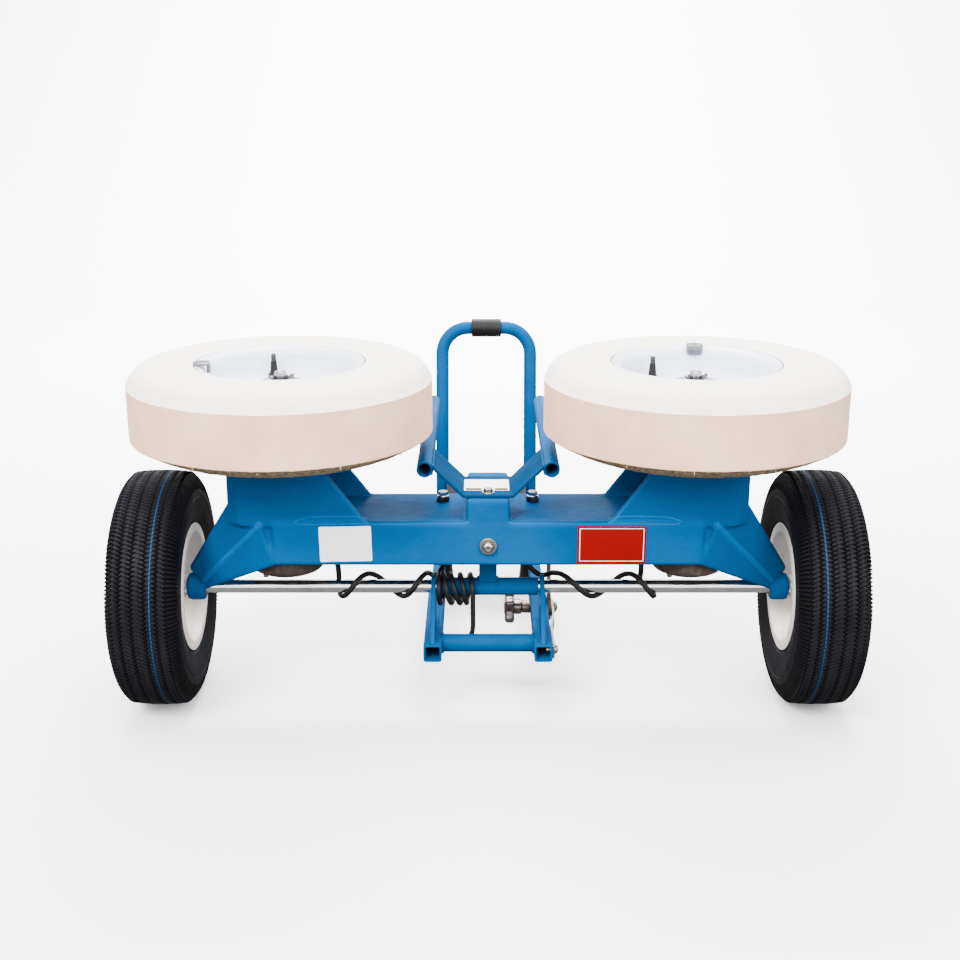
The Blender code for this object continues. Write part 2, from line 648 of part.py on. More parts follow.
def make_chute():
    """Two open tubes that carry the ball in between the wheels, on a bent strip bolted to the block."""
    for side, d in SIDES.items():
        tube = rod(f"chute_tube_{side}", (d * CHUTE_X, CHUTE_FRONT, CHUTE_Z), "y", CHUTE_REAR - CHUTE_FRONT,
                   CHUTE_R, HEAD, BLUE, PARTS, 24)
        cut(tube, rod(f"chute_bore_{side}", (d * CHUTE_X, CHUTE_FRONT - 0.01, CHUTE_Z), "y",
                      CHUTE_REAR - CHUTE_FRONT + 0.02, CHUTE_BORE_R, HEAD, None, CUTTERS, 24))
    seat = BLOCK_TOP + GAP
    reach = CHUTE_X - CHUTE_R - GAP - 0.0002
    rise = CHUTE_Z - seat
    right = [(YOKE_FLAT_HALF, seat), (reach, seat + rise),
             (reach, seat + rise + YOKE_T * math.sqrt(2)), (YOKE_FLAT_HALF - YOKE_T * 0.41, seat + YOKE_T)]
    left = [(-x, z) for x, z in reversed(right)]
    yoke = meshed(outline_solid("chute_yoke", right + left, YOKE_REAR - YOKE_FRONT, (0, YOKE_FRONT, 0), HEAD,
                                BLUE))
    cut(yoke, rod("yoke_hole", (0, YOKE_BOLT_Y, BLOCK_TOP - 0.01), "z", 0.03, YOKE_BOLT_R + GAP, HEAD, None,
                  CUTTERS, 16))
    bevelled(yoke, 0.0008, 1, 60.0)
    hex_bolt("yoke_bolt", (0, YOKE_BOLT_Y, seat + YOKE_T + GAP), (0, 0, 0), YOKE_BOLT_R, YOKE_BOLT_L,
             YOKE_HEAD_R, YOKE_HEAD_H, YOKE_WASHER_R, YOKE_WASHER_T, HEAD, ZINC)


# Motors, bearings and throwing wheels

def motor_exit(side):
    """Which way and where the lead leaves a motor: inwards and a little back, just under the beam."""
    out = Vector((-SIDES[side] * math.cos(math.radians(30)), math.sin(math.radians(30)), 0))
    return out, Vector((SIDES[side] * THROW_X, THROW_Y, LEAD_EXIT_Z)) + out * MOTOR_R


def make_motors():
    for side, d in SIDES.items():
        at = (d * THROW_X, THROW_Y, MOTOR_BOTTOM)
        height = MOTOR_TOP - MOTOR_BOTTOM
        motor = turned(f"motor_{side}", [(0, height), (MOTOR_R - 0.004, height), (MOTOR_R, height - 0.004),
                                 (MOTOR_R, MOTOR_DOME), (MOTOR_R - 0.005, MOTOR_DOME * 0.55),
                                 (MOTOR_R * 0.62, MOTOR_DOME * 0.18), (MOTOR_R * 0.25, 0.0), (0, 0)],
               at, HEAD, MOTOR_GREY, 24)
        out, exit_at = motor_exit(side)
        turn = (0, math.radians(90), math.atan2(out.y, out.x))
        join(motor, rod(f"motor_gland_{side}", exit_at - out * 0.004, "z", 0.012, 0.0065, HEAD, None, CUTTERS,
                        14, 0.0052, turn))
        cut(motor, rod(f"motor_gland_bore_{side}", exit_at, "z", 0.03, LEAD_R + GAP, HEAD, None, CUTTERS, 12,
                       turn=turn))
        ring = [(BEARING_R, BEARING_T), (BEARING_R, 0), (SHAFT_R + GAP, 0), (SHAFT_R + GAP, BEARING_T)]
        turned(f"shaft_bearing_{side}", ring, (d * THROW_X, THROW_Y, BEARING_BOSS_TOP - BEARING_T - 0.002),
               HEAD, STEEL, 24, closed=True)


def throw_rim_profile():
    bead = BEAD_R
    barrel = THROW_BARREL_R
    lip = LIP_HALF
    wall = RIM_WALL
    return [
        (LIP_R, lip), (LIP_R, lip - 0.0025), (bead + 0.003, lip - 0.0035), (bead, lip - 0.008),
        (bead - 0.0026, 0.027), (barrel, 0.014), (barrel, -0.020), (bead - 0.0026, -0.033),
        (bead, 0.008 - lip), (bead + 0.003, 0.0035 - lip), (LIP_R, 0.0025 - lip), (LIP_R, -lip),
        (bead + 0.001, -lip), (bead - wall, 0.009 - lip), (bead - wall - 0.0026, -0.034),
        (barrel - wall, -0.020), (barrel - wall, 0.008), (barrel - wall - 0.014, DISC_TOP - DISC_T),
        (SHAFT_R + GAP, DISC_TOP - DISC_T), (SHAFT_R + GAP, DISC_TOP), (barrel - wall - 0.012, DISC_TOP),
        (barrel - wall, 0.0155), (bead - wall - 0.0026, 0.029), (bead - wall, lip - 0.009),
        (bead + 0.001, lip)]


def throw_tyre_profile():
    """C section: flat ground tread, sharp corners, convex side walls, open to the rim."""
    half = [(BEAD_R + 0.0035, LIP_HALF - 0.0042), (LIP_R + 0.0025, CREST_HALF - 0.0045),
            (CREST_R - 0.022, CREST_HALF - 0.0008), (CREST_R, CREST_HALF),
            (CREST_R + 0.024, CREST_HALF - 0.006), (THROW_R, TREAD_HALF)]
    inner = [(THROW_R - TYRE_WALL, TREAD_HALF - 0.008), (CREST_R + 0.004, CREST_HALF - TYRE_WALL),
             (BEAD_R + GAP, LIP_HALF - 0.022), (BEAD_R + GAP, LIP_HALF - 0.0085)]
    return (half + [(r, -z) for r, z in reversed(half)]
            + [(r, -z) for r, z in reversed(inner)] + inner)


def make_throwing_wheels():
    for side, d in SIDES.items():
        at = (d * THROW_X, THROW_Y, THROW_Z)
        turned(f"throw_tyre_{side}", throw_tyre_profile(), at, THROW[side], CREAM, WHEEL_STEPS, closed=True)
        turned(f"throw_rim_{side}", throw_rim_profile(), at, THROW[side], WHITE, WHEEL_STEPS, closed=True)
        disc_bottom = DISC_TOP - DISC_T
        flange_top = disc_bottom - GAP
        shaft_bottom = MOTOR_TOP + 2 * GAP - THROW_Z
        nut_bottom = DISC_TOP + WASHER_T + 2 * GAP
        shaft_top = nut_bottom + NUT_H + SHAFT_PROUD
        turned(f"throw_shaft_{side}", [
            (0, shaft_top), (SHAFT_R - 0.001, shaft_top), (SHAFT_R, shaft_top - 0.001), (SHAFT_R, flange_top),
            (SHAFT_FLANGE_R, flange_top), (SHAFT_FLANGE_R, flange_top - 0.005),
            (SHAFT_R + 0.006, flange_top - 0.006), (SHAFT_R + 0.006, flange_top - SHAFT_FLANGE_T),
            (SHAFT_R, flange_top - SHAFT_FLANGE_T), (SHAFT_R, shaft_bottom), (0, shaft_bottom)],
            at, THROW[side], STEEL, 16)
        nut = turned(f"throw_nut_{side}", [
            (0, DISC_TOP + WASHER_T + GAP), (WASHER_R, DISC_TOP + WASHER_T + GAP), (WASHER_R, DISC_TOP + GAP),
            (0, DISC_TOP + GAP)], at, THROW[side], ZINC, 24)
        flats = rod(f"nut_flats_{side}", (at[0], at[1], THROW_Z + DISC_TOP + 2 * GAP), "z",
                    WASHER_T + NUT_H * 0.65, NUT_R, THROW[side], None, CUTTERS, 6)
        crown = rod(f"nut_crown_{side}", (at[0], at[1], THROW_Z + nut_bottom + GAP), "z", NUT_H, NUT_R * 0.8,
                    THROW[side], None, CUTTERS, 12)
        join(nut, flats, crown)
        cut(nut, rod(f"nut_bore_{side}", (at[0], at[1], THROW_Z + DISC_TOP - 0.01), "z", 0.05,
                     SHAFT_R + GAP, THROW[side], None, CUTTERS, 16))
        for turn in range(3):
            notch = box_between(f"nut_notch_{side}_{turn}", (-NUT_R, -0.0016, NUT_H * 0.68),
                                (NUT_R, 0.0016, NUT_H + 0.01), THROW[side], None, CUTTERS,
                                at=(at[0], at[1], THROW_Z + nut_bottom + GAP),
                                turn=(0, 0, math.radians(60 * turn)))
            cut(nut, notch)
        angle = math.radians(STEM_ANGLES[side])
        stem_at = (at[0] + STEM_RING_R * math.cos(angle), at[1] + STEM_RING_R * math.sin(angle))
        turned(f"valve_stem_{side}", [
            (0, STEM_LEN), (STEM_R * 0.62, STEM_LEN), (STEM_R * 0.62, STEM_LEN * 0.72),
            (STEM_R * 0.75, STEM_LEN * 0.62), (STEM_R, STEM_LEN * 0.18), (STEM_R * 1.5, STEM_LEN * 0.05),
            (STEM_R * 1.5, 0), (0, 0)],
            (*stem_at, THROW_Z + DISC_TOP + GAP + STEM_SEAT), THROW[side], BLACK, 12)
        make_weight(side, at)


def make_weight(side, at):
    """A clip-on balance weight: the clip lies on the rim's lip and the body hangs inside the flange."""
    seat = LIP_HALF + GAP
    top = seat + WEIGHT_CLIP_T
    back = BEAD_R - RIM_WALL - WEIGHT_CLEAR
    section = [(LIP_R, seat), (LIP_R, top), (back - WEIGHT_BODY_T, top),
               (back - WEIGHT_BODY_T, top - WEIGHT_H), (back, top - WEIGHT_H), (back, seat)]
    start = math.radians(WEIGHT_ANGLES[side] - WEIGHT_ARC / 2)
    bm = bmesh.new()
    bm.faces.new([bm.verts.new((r * math.cos(start), r * math.sin(start), z)) for r, z in section])
    bmesh.ops.spin(bm, geom=bm.verts[:] + bm.edges[:] + bm.faces[:], cent=(0, 0, 0), axis=(0, 0, 1),
                   angle=math.radians(WEIGHT_ARC), steps=4)
    finish(from_bmesh(f"balance_weight_{side}", bm), THROW[side], LEAD, at=at)


# Transport wheels

def wheel_rim_profile():
    bead = RIM_R - 0.014
    barrel = RIM_BARREL_R
    half = RIM_HALF_W
    wall = RIM_WALL
    return [
        (RIM_R, half), (RIM_R, half - 0.0025), (bead + 0.003, half - 0.0035), (bead, half - 0.008),
        (bead - 0.002, 0.024), (barrel, 0.014), (barrel, -0.014), (bead - 0.002, -0.024),
        (bead, 0.008 - half), (bead + 0.003, 0.0035 - half), (RIM_R, 0.0025 - half), (RIM_R, -half),
        (bead + 0.001, -half), (bead - wall, 0.009 - half), (bead - wall - 0.002, -0.025),
        (barrel - wall, -0.013), (WHEEL_HUB_R, -0.004),
        (WHEEL_HUB_R, -WHEEL_HUB_HALF), (AXLE_R + GAP, -WHEEL_HUB_HALF), (AXLE_R + GAP, WHEEL_HUB_HALF),
        (WHEEL_HUB_R, WHEEL_HUB_HALF), (WHEEL_HUB_R, -0.001), (barrel - wall, 0.005),
        (bead - wall - 0.002, 0.025), (bead - wall, half - 0.009), (bead + 0.001, half)]


def wheel_tyre_profile():
    bead = RIM_R - 0.014
    half = [(bead + 0.0035, RIM_HALF_W - 0.0042), (RIM_R + 0.0006, RIM_HALF_W - 0.0035),
            (RIM_R + 0.036, WHEEL_HALF_W),
            (WHEEL_R - 0.012, WHEEL_HALF_W - 0.003), (WHEEL_R - 0.004, WHEEL_SHOULDER),
            (WHEEL_R, WHEEL_SHOULDER * 0.55)]
    inner = [(WHEEL_R - 0.011, WHEEL_SHOULDER * 0.6), (WHEEL_R - 0.020, WHEEL_HALF_W - 0.010),
             (bead + GAP, RIM_HALF_W - 0.020), (bead + GAP, RIM_HALF_W - 0.0085)]
    return (half + [(r, -z) for r, z in reversed(half)]
            + [(r, -z) for r, z in reversed(inner)] + inner)


def make_transport_wheels():
    for side, d in SIDES.items():
        at = (d * WHEEL_X, 0, AXLE_Z)
        outward = (0, math.radians(90 * d), 0)
        turned(f"wheel_tyre_{side}", wheel_tyre_profile(), at, WHEEL[side], BLACK, WHEEL_STEPS,
               turn=outward, closed=True)
        turned(f"wheel_rim_{side}", wheel_rim_profile(), at, WHEEL[side], RIM_BEIGE, WHEEL_STEPS,
               turn=outward, closed=True)
        stem = [(0, 0.024), (0.0034, 0.024), (0.0034, 0.016), (0.0052, 0.004), (0.0075, 0.001),
                (0.0075, 0), (0, 0)]
        turned(f"wheel_valve_{side}", stem,
               (d * (WHEEL_X + 0.0075), 0, AXLE_Z - (RIM_BARREL_R - RIM_WALL - 0.0115)), WHEEL[side], BLACK,
               14, turn=outward)


# Base

def square_tube(name, x, y0, y1, z, side, wall, corner, mat):
    """A square tube along Y, open at both ends."""
    half = side / 2
    outer = box_between(name, (x - half, y0, z - half), (x + half, y1, z + half), LAUNCHER, mat)
    mod = outer.modifiers.new("corners", "BEVEL")
    mod.width = corner
    mod.segments = 3
    mod.limit_method = "WEIGHT"
    weights = outer.data.attributes.new("bevel_weight_edge", "FLOAT", "EDGE")
    for edge in outer.data.edges:
        a, b = (outer.data.vertices[i].co for i in edge.vertices)
        weights.data[edge.index].value = 1.0 if abs(a.y - b.y) > side else 0.0
    inside = half - wall
    hole = box_between(f"{name}_hole", (x - inside, y0 - side, z - inside),
                       (x + inside, y1 + side, z + inside), LAUNCHER, None, CUTTERS)
    return cut(outer, hole)


def tangent_from(point, centre, radius, side):
    """Angle, in degrees, at which a line from a point touches a circle on the chosen side."""
    dx = point[0] - centre[0]
    dy = point[1] - centre[1]
    reach = math.hypot(dx, dy)
    return math.degrees(math.atan2(dy, dx) + side * math.acos(radius / reach))


def make_base_front():
    rails = {}
    for side, d in SIDES.items():
        rails[side] = square_tube(f"front_rail_{side}", d * RAIL_X, RAIL_FRONT, RAIL_REAR, RAIL_Z, RAIL_SIDE,
                                  RAIL_WALL, RAIL_CORNER, BLUE)
        seat = RAIL_Z + RAIL_SIDE / 2 + GAP
        front = (PLATE_FRONT, seat)
        touch = tangent_from(front, (0, AXLE_Z), PLATE_TOP_R, -1)
        outline = [(PLATE_TOP_R, seat)] + arc((0, AXLE_Z), PLATE_TOP_R, 0, touch % 360, 12) + [front]
        plate = meshed(outline_solid(f"axle_plate_{side}", outline, PLATE_T,
                                     (d * RAIL_X - PLATE_T / 2, 0, 0), LAUNCHER, BLUE, plane="yz"))
        cut(plate, rod(f"plate_bore_{side}", (d * RAIL_X - 0.02, 0, AXLE_Z), "x", 0.04, AXLE_R + GAP,
                       LAUNCHER, None, CUTTERS, 20))
    inside = RAIL_X - RAIL_SIDE / 2 - GAP
    tube = rod("cross_tube", (-inside, CROSS_Y, RAIL_Z), "x", 2 * inside, CROSS_R, LAUNCHER, BLUE, PARTS, 24)
    cut(tube, rod("cross_bore", (-inside - 0.01, CROSS_Y, RAIL_Z), "x", 2 * inside + 0.02,
                  CROSS_R - CROSS_WALL, LAUNCHER, None, CUTTERS, 20))
    clamp_hole = rod("clamp_hole", (0.04, CLAMP_Y, RAIL_Z), "x", 0.08, CLAMP_R + GAP, LAUNCHER, None, CUTTERS,
                     18)
    strap_hole = rod("strap_bolt_hole", (RAIL_X, STRAP_BOLT_Y, RAIL_Z), "x", 0.03, STRAP_BOLT_R + GAP,
                     LAUNCHER, None, CUTTERS, 16)
    cut(rails["right"], clamp_hole, strap_hole)
    for side, d in SIDES.items():
        hole = rod(f"lock_hole_{side}", (d * RAIL_X, LOCK_Y, RAIL_Z + REAR_RAIL_SIDE / 2), "z", 0.03,
                   LOCK_R + GAP, LAUNCHER, None, CUTTERS, 16)
        cut(rails[side], hole)
        top = RAIL_Z + RAIL_SIDE / 2 + GAP
        tip = RAIL_Z + REAR_RAIL_SIDE / 2 + GAP
        hex_bolt(f"lock_screw_{side}", (d * RAIL_X, LOCK_Y, top), (0, 0, 0), LOCK_R, top - tip, LOCK_HEAD_R,
                 LOCK_HEAD_H, LOCK_WASHER_R, LOCK_WASHER_T, LAUNCHER, ZINC)


def make_quadrant():
    """A slotted arc about the axle. The clamp screw passes through the slot, whose length is the tilt."""
    slot_r = math.hypot(CLAMP_Y, AXLE_Z - RAIL_Z)
    rest = math.degrees(math.atan2(RAIL_Z - AXLE_Z, CLAMP_Y))
    low = rest - 2.0
    high = rest + TILT_MAX + 2.0
    centre = (0, AXLE_Z)
    mount_z = BEAM_Z0 - GAP
    outline = (arc(centre, slot_r + QUAD_BAND, low, high, 9)
               + [(BEAM_REAR - 0.006, mount_z), (0.030, mount_z)]
               + arc(centre, slot_r - QUAD_BAND, high + 6, low, 9)
               + arc((slot_r * math.cos(math.radians(low)), AXLE_Z + slot_r * math.sin(math.radians(low))),
                     QUAD_BAND, low + 180, low + 360, 6)[1:-1])
    plate = meshed(outline_solid("tilt_quadrant", outline, QUAD_T, (QUAD_X, 0, 0), HEAD, BARE, plane="yz"))
    half = CLAMP_R + 0.0006
    slot = (arc(centre, slot_r + half, low, high, 9)
            + arc((slot_r * math.cos(math.radians(high)), AXLE_Z + slot_r * math.sin(math.radians(high))),
                  half, high, high + 180, 6)[1:-1]
            + arc(centre, slot_r - half, high, low, 9)
            + arc((slot_r * math.cos(math.radians(low)), AXLE_Z + slot_r * math.sin(math.radians(low))),
                  half, low + 180, low + 360, 6)[1:-1])
    cutter = meshed(outline_solid("quadrant_slot", slot, QUAD_T + 0.02, (QUAD_X - 0.01, 0, 0), HEAD, None,
                                  CUTTERS, plane="yz"))
    cut(plate, cutter)


def make_clamp():
    """Knob and screw that pinch the quadrant against the right rail under the keeper strap."""
    inner_face = RAIL_X - RAIL_SIDE / 2 - GAP
    hub_end = KNOB_X0 + KNOB_T + KNOB_HUB_L
    boss = rod("clamp_boss", (hub_end + GAP, CLAMP_Y, RAIL_Z), "x", inner_face - hub_end - GAP, BOSS_NUT_R,
               LAUNCHER, BARE, PARTS, 24)
    cut(boss, rod("clamp_boss_bore", (hub_end - 0.01, CLAMP_Y, RAIL_Z), "x", 0.04, CLAMP_R + GAP, LAUNCHER,
                  None, CUTTERS, 18))
    screw_start = KNOB_X0 + 0.006
    screw = rod("clamp_screw", (screw_start, CLAMP_Y, RAIL_Z), "x", HEAD_X + 0.002 - screw_start, CLAMP_R,
                LAUNCHER, ZINC, PARTS, 18)
    head = turned_cutter("clamp_screw_head", [(0, 0.0075), (0.004, 0.0068), (0.0078, 0.0042), (0.0092, 0.001),
                                              (0.0092, 0), (0, 0)], (HEAD_X, CLAMP_Y, RAIL_Z), "x", LAUNCHER)
    join(screw, head)
    lobes = []
    for i in range(35):
        a = 2 * math.pi * i / 35
        r = KNOB_R - KNOB_LOBE + KNOB_LOBE * math.cos(5 * a)
        lobes.append((r * math.cos(a), r * math.sin(a)))
    knob = meshed(outline_solid("clamp_knob", [(CLAMP_Y + u, RAIL_Z + v) for u, v in lobes], KNOB_T,
                                (KNOB_X0, 0, 0), CLAMP, STEEL, plane="yz"))
    bevelled(knob, 0.0012, 1, 60.0)
    hub = rod("knob_hub", (KNOB_X0 + 0.004, CLAMP_Y, RAIL_Z), "x", KNOB_T + KNOB_HUB_L - 0.004, KNOB_HUB_R,
              CLAMP, None, CUTTERS, 24)
    bore = rod("knob_bore", (screw_start - GAP, CLAMP_Y, RAIL_Z), "x", 0.04, CLAMP_R + GAP, CLAMP, None,
               CUTTERS, 18)
    cut(join(knob, hub), bore)
    near = QUAD_X
    outline = [(near, STRAP_BOLT_Y - 0.012), (near + STRAP_T, STRAP_BOLT_Y - 0.012),
               (near + STRAP_T, 0.000), (STRAP_X + STRAP_T, 0.045), (STRAP_X + STRAP_T, CLAMP_Y + 0.013),
               (STRAP_X, CLAMP_Y + 0.013), (STRAP_X, 0.047), (near, 0.002)]
    strap = meshed(outline_solid("keeper_strap", outline, 2 * STRAP_HALF, (0, 0, RAIL_Z - STRAP_HALF),
                                 LAUNCHER, ZINC, plane="xy"))
    cut(strap,
        rod("strap_clamp_hole", (QUAD_X, CLAMP_Y, RAIL_Z), "x", 0.02, CLAMP_R + GAP, LAUNCHER, None, CUTTERS,
            18),
        rod("strap_front_hole", (RAIL_OUT - 0.01, STRAP_BOLT_Y, RAIL_Z), "x", 0.03, STRAP_BOLT_R + GAP,
            LAUNCHER, None, CUTTERS, 16))
    seat = QUAD_X + STRAP_T + GAP
    turned("strap_bolt", [(0, 0.0045), (0.0035, 0.0042), (0.0062, 0.0022), (0.0068, 0), (STRAP_BOLT_R, 0),
                          (STRAP_BOLT_R, -0.012), (0, -0.012)],
           (seat, STRAP_BOLT_Y, RAIL_Z), LAUNCHER, ZINC, 18, axis="x")


def turned_cutter(name, profile, at, axis, parent):
    obj = turned(name, profile, at, parent, None, 18, axis)
    PARTS.objects.unlink(obj)
    CUTTERS.objects.link(obj)
    obj.hide_render = True
    obj.display_type = "WIRE"
    return obj


def post_point(z, x=0.0, back=0.0):
    return (x, POST_Y + (z - RAIL_Z) * math.tan(math.radians(POST_LEAN)) + back, z)


def make_rear_frame():
    lean = math.radians(POST_LEAN)
    tilt = (-lean, 0, 0)
    bottom = FOOT_SOLE + 0.001
    for side, d in SIDES.items():
        rail = square_tube(f"rear_rail_{side}", d * RAIL_X, REAR_RAIL_FRONT, POST_Y, RAIL_Z, REAR_RAIL_SIDE,
                           REAR_RAIL_WALL, 0.003, BLUE)
        cut(rail, rod(f"post_notch_{side}", post_point(0.0, d * RAIL_X), "z", 0.3, POST_TUBE_R + GAP,
                      LAUNCHER, None, CUTTERS, 24, turn=tilt))
        foot = rod(f"foot_{side}", (d * RAIL_X, post_point(bottom)[1], 0), "z", FOOT_H, FOOT_R, LAUNCHER,
                   BLACK, PARTS, 24, FOOT_TOP_R)
        cut(foot, rod(f"foot_socket_{side}", post_point(bottom - GAP, d * RAIL_X), "z", 0.1,
                      POST_TUBE_R + GAP, LAUNCHER, None, CUTTERS, 24, turn=tilt))
    start = POST_TUBE_R * math.sin(lean)
    corners = [post_point(bottom + start, -RAIL_X), post_point(HANDLE_Z, -RAIL_X),
               post_point(HANDLE_Z, RAIL_X), post_point(bottom + start, RAIL_X)]
    path = filleted(corners, HANDLE_BEND, 6)
    frame = meshed(tube_along("handle_frame", path, POST_TUBE_R, LAUNCHER, BLUE, resolution=4))
    along = (path[0] - path[1]).normalized() * 0.01
    inner_path = [path[0] + along] + path[1:-1] + [path[-1] + along]
    inner = meshed(tube_along("handle_bore", inner_path, POST_TUBE_R - POST_TUBE_WALL, LAUNCHER, None,
                              CUTTERS, 3))
    cut(frame, inner)
    grip = rod("handle_grip", post_point(HANDLE_Z, -GRIP_HALF), "x", 2 * GRIP_HALF, GRIP_R, LAUNCHER, BLACK,
               PARTS, 18)
    cut(grip, rod("grip_bore", post_point(HANDLE_Z, -GRIP_HALF - 0.01), "x", 2 * GRIP_HALF + 0.02,
                  POST_TUBE_R + GAP, LAUNCHER, None, CUTTERS, 18))
    bevelled(grip, 0.0015, 1, 60.0)


# Control box

def box_piece(name, low, high, parent, mat, collection=PARTS, edge=0.0):
    """A block square to the posts; low and high are across, back and up from the box's middle."""
    return box_between(name, low, high, parent, mat, collection, edge, on_posts(0, 0, 0),
                       (-math.radians(POST_LEAN), 0, 0))


def box_rod(name, x, back, up, length, radius, parent, mat, collection=PARTS, sides=24, radius_end=None):
    """A round piece that points back out of the panel."""
    turn = (-math.radians(POST_LEAN + 90), 0, 0)
    return rod(name, on_posts(x, back, up), "z", length, radius, parent, mat, collection, sides, radius_end,
               turn)


def make_control_box():
    front = BOX_BACK - BOX_DEPTH
    body = box_piece("control_box", (-BOX_HALF_X, front, -BOX_HALF_H), (BOX_HALF_X, BOX_BACK, BOX_HALF_H),
                     LAUNCHER, BOX_GREY)
    bevelled(body, 0.003, 2)
    inside_x = PANEL_HALF_X - BOX_WALL
    cut(body, box_piece("box_hollow", (-inside_x, front + BOX_WALL, BOX_WALL - BOX_HALF_H),
                        (inside_x, BOX_BACK + 0.01, BOX_HALF_H - BOX_WALL), LAUNCHER, None, CUTTERS))
    panel = box_piece("control_panel", (-PANEL_HALF_X, BOX_BACK + GAP, -BOX_HALF_H),
                      (PANEL_HALF_X, PANEL_FACE, BOX_HALF_H), LAUNCHER, BOX_GREY)
    bevelled(panel, 0.0008, 1)
    for side, d in SIDES.items():
        seat = PANEL_FACE + DIAL_CLEAR
        dial = box_rod(f"speed_dial_{side}", d * DIAL_X, seat, DIAL_UP, DIAL_L, DIAL_R, DIAL[side], PLASTIC,
                       PARTS, 24, DIAL_R * 0.86)
        bevelled(dial, 0.0012, 1, 60.0)
    half_w = SWITCH_W / 2
    half_h = SWITCH_H / 2
    module = box_piece("power_inlet",
                       (SWITCH_X - half_w - MODULE_RIM, PANEL_FACE + GAP, SWITCH_UP - MODULE_HALF_H),
                       (INLET_X + INLET_W / 2, PANEL_FACE + MODULE_T, SWITCH_UP + MODULE_HALF_H), LAUNCHER,
                       PLASTIC)
    bevelled(module, 0.001, 1)
    cut(module, box_piece("rocker_hole", (SWITCH_X - half_w - 0.0006, PANEL_FACE + 0.001,
                                          SWITCH_UP - half_h - 0.0008),
                          (SWITCH_X + half_w + 0.0006, PANEL_FACE + 0.02, SWITCH_UP + half_h + 0.0008),
                          LAUNCHER, None, CUTTERS))
    rocker_outline = [(0.0012 - half_h, 0.0045), (half_h - 0.0012, 0.0045), (half_h, MODULE_T),
                      (0.0, MODULE_T + 0.0012), (-half_h, MODULE_T + 0.0034)]
    rocker = hull("power_switch", [on_posts(SWITCH_X + s * half_w, PANEL_FACE + out, SWITCH_UP + up)
                                   for s in (-1, 1) for up, out in rocker_outline], ROCKER, PLASTIC)
    bevelled(rocker, 0.0005, 1)
    cut(module, box_piece("inlet_recess", (INLET_X - 0.012, PANEL_FACE + 0.0022, SWITCH_UP - 0.008),
                          (INLET_X + 0.012, PANEL_FACE + 0.02, SWITCH_UP + 0.008), LAUNCHER, None, CUTTERS))
    for x, up in ((-0.006, 0.002), (0.0, -0.003), (0.006, 0.002)):
        join(module, box_piece(f"inlet_pin_{round(x * 1000)}",
                               (INLET_X + x - 0.001, PANEL_FACE + 0.0012, SWITCH_UP + up - 0.002),
                               (INLET_X + x + 0.001, PANEL_FACE + 0.0065, SWITCH_UP + up + 0.002), LAUNCHER,
                               None, CUTTERS))
    gland_turn = (math.radians(90 - POST_LEAN), 0, 0)
    gland = rod("box_gland", on_posts(GLAND_AT[0], GLAND_AT[1] + 0.001, GLAND_AT[2]), "z", 0.015, 0.0085,
                LAUNCHER, None, CUTTERS, 18, 0.0065, gland_turn)
    join(body, gland)
    cut(body, rod("box_gland_bore", on_posts(GLAND_AT[0], GLAND_AT[1] - 0.004, GLAND_AT[2]), "z", 0.03,
                  LEAD_R + GAP, LAUNCHER, None, CUTTERS, 12, turn=gland_turn))


# Leads: each is one tube along its real route

def wrap_points(side):
    """The lead wound on the axle: behind, under, in front and over, while x follows the places seen."""
    points = []
    places = WRAP_X[side]
    for i in range(len(WRAP_TURNS) - 2):
        t0, t1 = WRAP_TURNS[i:i + 2]
        before = max(0, i - 1)
        slope0 = (places[i + 1] - places[before]) / (t1 - WRAP_TURNS[before])
        slope1 = (places[i + 2] - places[i]) / (WRAP_TURNS[i + 2] - t0)
        for k in range(round((t1 - t0) * COIL_POINTS)):
            turn = t0 + k / COIL_POINTS
            u = (turn - t0) / (t1 - t0)
            x = (places[i] * (1 + 2 * u) * (1 - u) ** 2 + places[i + 1] * u * u * (3 - 2 * u)
                 + (slope0 * u * (1 - u) ** 2 - slope1 * u * u * (1 - u)) * (t1 - t0))
            angle = 2 * math.pi * turn
            points.append((SIDES[side] * x, WRAP_R * math.sin(angle),
                           AXLE_Z + 0.0018 + WRAP_R * math.cos(angle)))
    return points


def coil_points():
    """Loose turns that hang on the sleeve, over the top and down in front, with five strands in front."""
    points = []
    hang = AXLE_Z + SLEEVE_R + LEAD_R + 2 * GAP - COIL_R
    total = COIL_TURNS - 0.75
    for i in range(round(total * COIL_POINTS) + 1):
        turn = i / COIL_POINTS
        angle = 2 * math.pi * turn
        lean = 0.18 * min(1.0, max(0.0, turn - 0.5)) * min(1.0, max(0.0, total - 0.6 - turn))
        x = COIL_FIRST_X + COIL_PITCH * max(0.0, turn - 0.25) - lean * COIL_R * math.cos(angle)
        points.append(Vector((x, -COIL_R * math.sin(angle), hang + COIL_R * math.cos(angle))))
    return points


def least_gap(points, radius, turn_points):
    """Least distance between the walls of turns of one tube, measured between its points and stretches."""
    least = 1.0
    for i, a in enumerate(points):
        for j in range(i + turn_points // 2, len(points) - 1):
            p = points[j]
            q = points[j + 1]
            along = q - p
            t = min(1.0, max(0.0, (a - p).dot(along) / along.length_squared))
            least = min(least, (a - (p + along * t)).length)
    return least - 2 * radius


